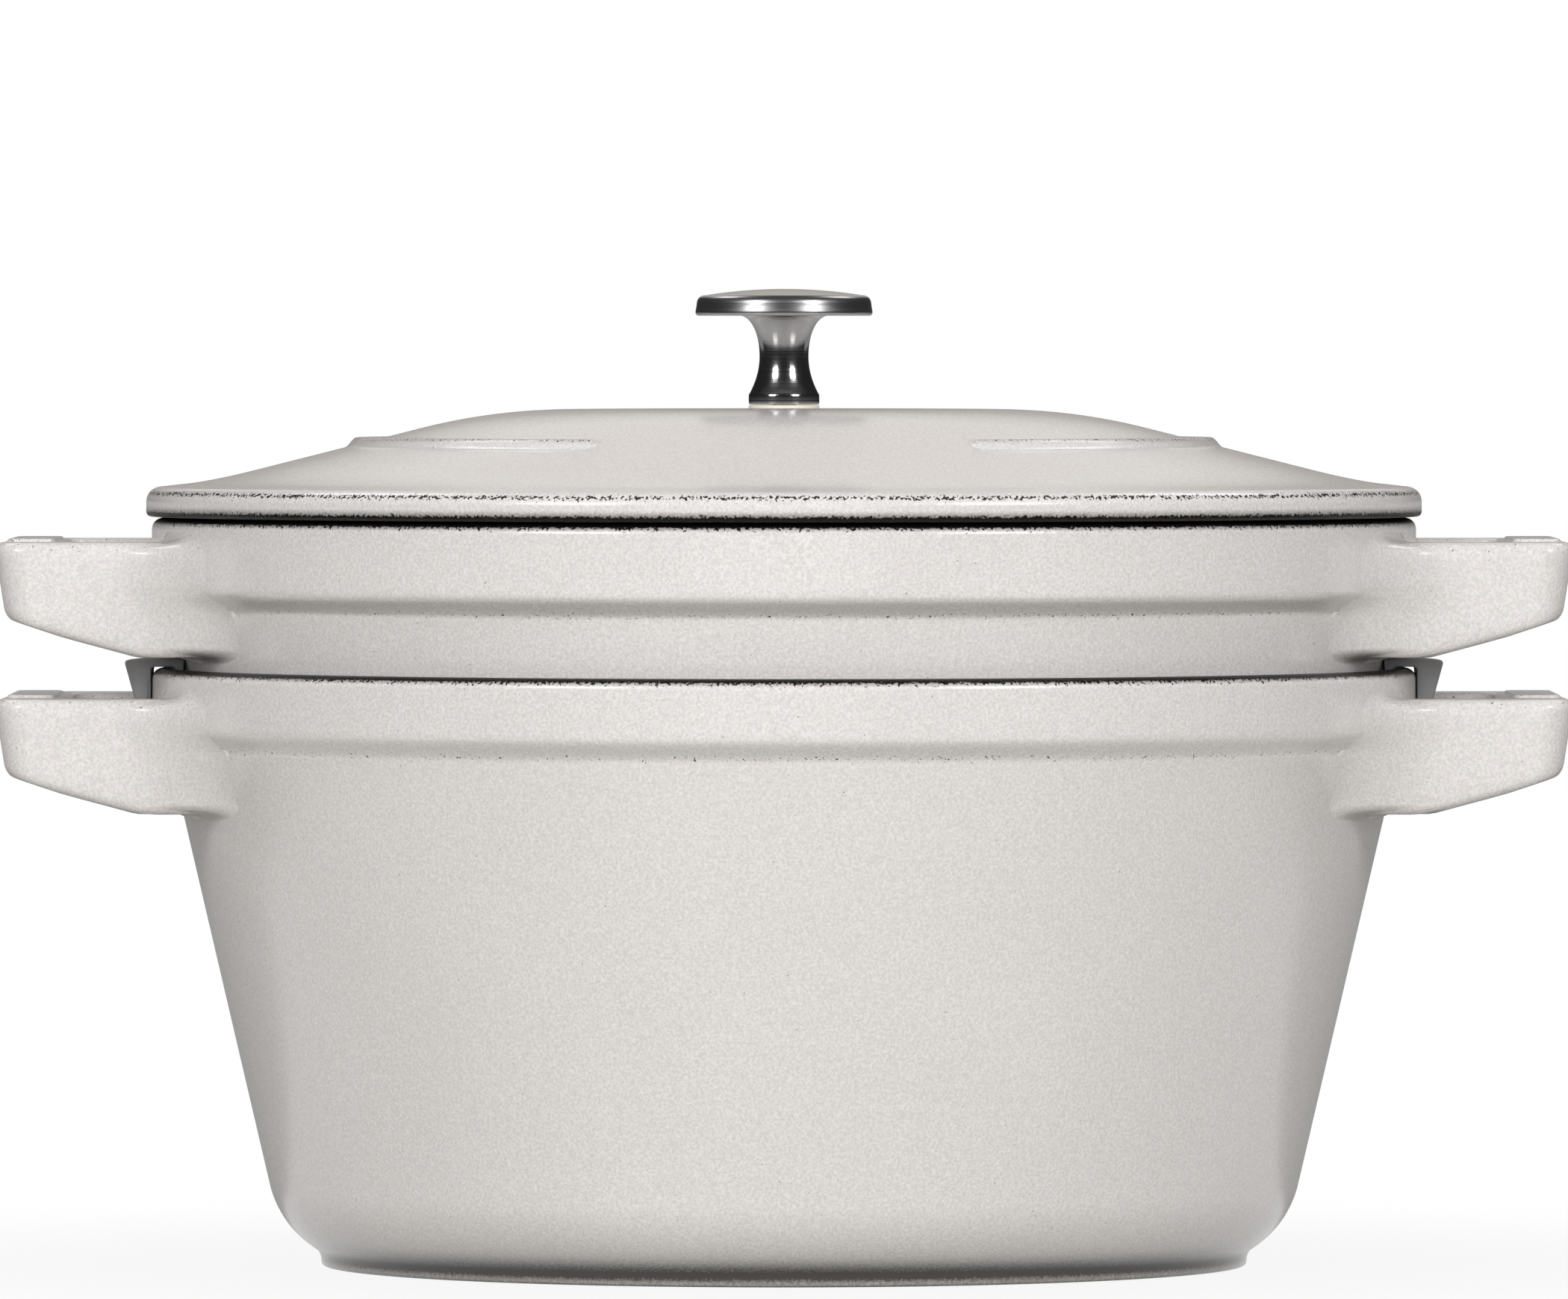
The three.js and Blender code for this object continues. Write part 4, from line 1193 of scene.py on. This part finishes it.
def flag_material(shade):
    """Even cloth of a shade that reflections see."""
    material = blank_material("Flag cloth")
    tree = material.node_tree
    shown(tree, node(tree, "ShaderNodeEmission", {"Color": opaque(linear(shade)), "Strength": 1}))
    return material


# Stage

SOFTBOX_SIZE = (0.95, 0.8)
SOFTBOX_DISTANCE = 3.2
SOFTBOX_AZIMUTH = math.radians(40)
SOFTBOX_ELEVATION = math.radians(28)
BACK_SHARE = 0.3
BACK_ELEVATION = math.radians(50)
FILL_SIZE = (1.8, 1)
FILL_ELEVATION = math.radians(10)
TOP_SIZE = (1.2, 0.8)
TOP_PLACE = (0, -0.3, 1.5)

# Azimuth in degrees of each fill, and its share of the front fill's power
FILLS = ((0, 1), (105, 0.25), (180, 1), (255, 0.25))

FLAG_STEPS = 48
TO_BACK = math.pi / 2
TO_FRONT = -math.pi / 2

# Each flag: name, radius and height of its rows, angle of its middle, degrees to each side and shade
FLAGS = (
    ("low_card", ((5, 0.1), (5, 1.1)), TO_BACK, 15, "#6E6860"),
    ("back_card", ((5, 1.1), (5, 1.8)), TO_BACK, 15, "#C6C0B6"),
    ("high_card", ((5, 2.1), (5, 4)), TO_BACK, 15, "#E6DED2"),
    ("side_flag", ((0.42, 0.001), (5, 0.001), (5, 4)), TO_FRONT, 165, "#2A2A2A"),
    ("ceiling_flag", ((0.1, 4), (5, 4)), TO_BACK, 180, "#3C3C3C"),
    ("near_flag", ((0.104, 0.001), (0.36, 0.001), (0.36, 0.165)), TO_BACK, 70, "#989898"),
)


def facing(name, data, place, target):
    """Lamp or camera at a place, turned to face a target."""
    made = bpy.data.objects.new(name, data)
    made.location = place
    made.rotation_euler = (Vector(target) - Vector(place)).to_track_quat("-Z", "Y").to_euler()
    bpy.context.scene.collection.objects.link(made)
    return made


def softbox(name, size, watts, place, target):
    """Area lamp at a place, turned to face a target."""
    data = bpy.data.lights.new(name, "AREA")
    data.shape = "RECTANGLE"
    data.size, data.size_y = size
    data.energy = watts
    return facing(name, data, place, target)


def stage_mesh(name, points, faces, material):
    """Mesh object that belongs to the stage."""
    mesh = bpy.data.meshes.new(name)
    mesh.from_pydata(points, [], faces)
    mesh.materials.append(material)
    made = bpy.data.objects.new(name, mesh)
    bpy.context.scene.collection.objects.link(made)
    return made


def around(azimuth, elevation, distance):
    """Place at a distance from the origin, azimuth from the camera's side and elevation."""
    return (
        distance * math.cos(elevation) * math.sin(azimuth),
        -distance * math.cos(elevation) * math.cos(azimuth),
        distance * math.sin(elevation),
    )


def build_floor(colours):
    """Large level floor under the object's foot."""
    level = POT_LOW.z - FLOOR_GAP
    points = [(x * FLOOR_REACH, y * FLOOR_REACH, level) for x, y in ((-1, -1), (1, -1), (1, 1), (-1, 1))]
    stage_mesh("floor", points, [(0, 1, 2, 3)], floor_material(colours))


def build_flag(name, rows, middle, reach, shade):
    """Curved card that only reflections see, so that gloss and metal have something to show."""
    angles = middle + np.radians(np.linspace(-reach, reach, FLAG_STEPS))
    points = turned(np.array(rows), angles)
    index = np.arange(points[..., 0].size).reshape(points.shape[:2])
    corners = (index[:-1, :-1], index[:-1, 1:], index[1:, 1:], index[1:, :-1])
    faces = np.stack(corners, axis=-1).reshape(-1, 4)
    flag = stage_mesh(name, points.reshape(-1, 3).tolist(), faces.tolist(), flag_material(shade))
    flag.visible_camera = False
    flag.visible_diffuse = False
    flag.visible_shadow = False
    flag.visible_transmission = False


def build_world(ambient):
    """White surroundings to the eye and in reflections, with a lower strength as light."""
    world = bpy.data.worlds.new("Studio")
    world.use_nodes = True
    tree = world.node_tree
    tree.nodes.clear()
    strength = node(tree, "ShaderNodeMapRange", {"Value": seen_rays(tree), "To Min": ambient, "To Max": 1})
    light = node(tree, "ShaderNodeBackground", {"Color": (1, 1, 1, 1), "Strength": strength})
    node(tree, "ShaderNodeOutputWorld", {"Surface": light})
    bpy.context.scene.world = world


def build_camera(stage):
    """Camera at the photograph's angle, a little above the rim of the dutch oven."""
    data = bpy.data.cameras.new("camera")
    data.lens = stage.lens
    place = (0, -stage.camera_distance, stage.camera_height)
    bpy.context.scene.camera = facing("camera", data, place, (0, 0, stage.target_height))


# Operators


class COOKWARE_OT_stage(Operator):
    """Makes the camera, lamps, surroundings, floor and flags"""

    bl_idname = "cookware.stage"
    bl_label = "Stage"

    def execute(self, context):
        stage = context.scene.cookware_stage
        build_camera(stage)
        target = (0, 0, stage.target_height)
        for side in (-1, 1):
            front = around(side * SOFTBOX_AZIMUTH, SOFTBOX_ELEVATION, SOFTBOX_DISTANCE)
            back = around(math.pi - side * SOFTBOX_AZIMUTH, BACK_ELEVATION, SOFTBOX_DISTANCE)
            softbox("front_softbox", SOFTBOX_SIZE, stage.key_power, front, target)
            softbox("back_softbox", SOFTBOX_SIZE, stage.key_power * BACK_SHARE, back, target)
        fills = [softbox("top_panel", TOP_SIZE, stage.top_power, TOP_PLACE, target)]
        for azimuth, share in FILLS:
            place = around(math.radians(azimuth), FILL_ELEVATION, SOFTBOX_DISTANCE)
            fills.append(softbox("fill", FILL_SIZE, stage.fill_power * share, place, target))
        for fill in fills:
            fill.visible_glossy = False
        build_world(stage.ambient)
        build_floor(context.scene.cookware_finishes)
        for flag in FLAGS:
            build_flag(*flag)
        context.scene.view_settings.view_transform = "Standard"
        return {"FINISHED"}


def build_vessel(scene, kind, low, high, name, body, replaced):
    """One casting: the turned vessel with a handle on +X and the same handle half a turn round."""
    vessel = Vessel(scene.cookware_vessels, kind, low, high)
    handle = scene.cookware_handles
    right = handle_shells(vessel, handle)
    left = [shell.turned_half() for shell in right]
    shells = [vessel_shell(vessel, handle), *right, *left]
    make_piece(name, shells, enamel_material(scene.cookware_finishes), body, replaced)


class COOKWARE_OT_dutch_oven(Operator):
    """Draws the deep pot with its two handles"""

    bl_idname = "cookware.dutch_oven"
    bl_label = "Dutch Oven"

    def execute(self, context):
        build_vessel(
            context.scene, "pot", POT_LOW, POT_HIGH, "dutch_oven_casting", "dutch_oven", "dutch_oven_pot"
        )
        return {"FINISHED"}


class COOKWARE_OT_braiser(Operator):
    """Draws the shallow pan with its two handles"""

    bl_idname = "cookware.braiser"
    bl_label = "Braiser"

    def execute(self, context):
        build_vessel(
            context.scene, "braiser", BRAISER_LOW, BRAISER_HIGH, "braiser_casting", "braiser", "braiser_pan"
        )
        return {"FINISHED"}


class COOKWARE_OT_rim_clips(Operator):
    """Draws the two silicone clips on the rim of the dutch oven"""

    bl_idname = "cookware.rim_clips"
    bl_label = "Rim Clips"

    def execute(self, context):
        scene = context.scene
        right = clip_shell(scene.cookware_clips, scene.cookware_vessels.wall)
        grey = scene.cookware_finishes.silicone
        finish = rubber_material("Moulded silicone", grey, roughness=0.62, grain_mm=0.5)
        left = right.turned_half()
        make_piece("clip_right", [right], finish, "right_clip", "rim_clip_right")
        make_piece("clip_left", [left], finish, "left_clip", "rim_clip_left")
        return {"FINISHED"}


class COOKWARE_OT_lid(Operator):
    """Draws the lid with its rib, flange and lip"""

    bl_idname = "cookware.lid"
    bl_label = "Lid"

    def execute(self, context):
        scene = context.scene
        finish = enamel_material(scene.cookware_finishes)
        make_piece("lid_casting", [lid_shell(scene.cookware_lid)], finish, "lid", "lid_cover")
        return {"FINISHED"}


class COOKWARE_OT_knob(Operator):
    """Draws the turned knob and its gasket, and finishes the screw and washer"""

    bl_idname = "cookware.knob"
    bl_label = "Knob"

    def execute(self, context):
        scene = context.scene
        colours = scene.cookware_finishes
        knob = knob_shell(scene.cookware_knob)
        make_piece("turned_knob", [knob], steel_material(colours), "lid", "lid_knob")
        gasket = gasket_shell(scene.cookware_knob.bore_radius)
        finish = rubber_material("Pale silicone ring", colours.gasket, roughness=0.5, grain_mm=0.6)
        make_piece("gasket", [gasket], finish, "lid", "knob_gasket")
        fastener = fastener_material(colours)
        for name in ("knob_screw", "screw_washer"):
            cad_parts[name].material_slots[0].material = fastener
        return {"FINISHED"}


class COOKWARE_PT_sidebar(Panel):
    """Lists the pieces of the set and their sizes"""

    bl_label = "Cast Iron Set"
    bl_idname = "COOKWARE_PT_sidebar"
    bl_space_type = "VIEW_3D"
    bl_region_type = "UI"
    bl_category = "Cookware"

    def draw(self, context):
        for operator in OPERATORS:
            self.layout.operator(operator.bl_idname)
        for key in SETTINGS:
            group = getattr(context.scene, key)
            column = self.layout.column()
            for name in group.__annotations__:
                column.prop(group, name)


SETTINGS = {
    "cookware_stage": CookwareStage,
    "cookware_finishes": CookwareFinishes,
    "cookware_vessels": CookwareVessels,
    "cookware_handles": CookwareHandles,
    "cookware_clips": CookwareClips,
    "cookware_lid": CookwareLid,
    "cookware_knob": CookwareKnob,
}
OPERATORS = (
    COOKWARE_OT_stage,
    COOKWARE_OT_dutch_oven,
    COOKWARE_OT_braiser,
    COOKWARE_OT_rim_clips,
    COOKWARE_OT_lid,
    COOKWARE_OT_knob,
)
CLASSES = (*SETTINGS.values(), *OPERATORS, COOKWARE_PT_sidebar)


def register():
    """Registers the classes and hangs the settings on the scene."""
    for kind in CLASSES:
        bpy.utils.register_class(kind)
    for key, group in SETTINGS.items():
        setattr(bpy.types.Scene, key, PointerProperty(type=group))


def unregister():
    """Takes the settings off the scene and removes the classes."""
    for key in SETTINGS:
        delattr(bpy.types.Scene, key)
    for kind in reversed(CLASSES):
        bpy.utils.unregister_class(kind)


def main():
    register()
    bpy.ops.cookware.stage()
    bpy.ops.cookware.dutch_oven()
    bpy.ops.cookware.braiser()
    bpy.ops.cookware.rim_clips()
    bpy.ops.cookware.lid()
    bpy.ops.cookware.knob()


if __name__ == "__main__":
    main()
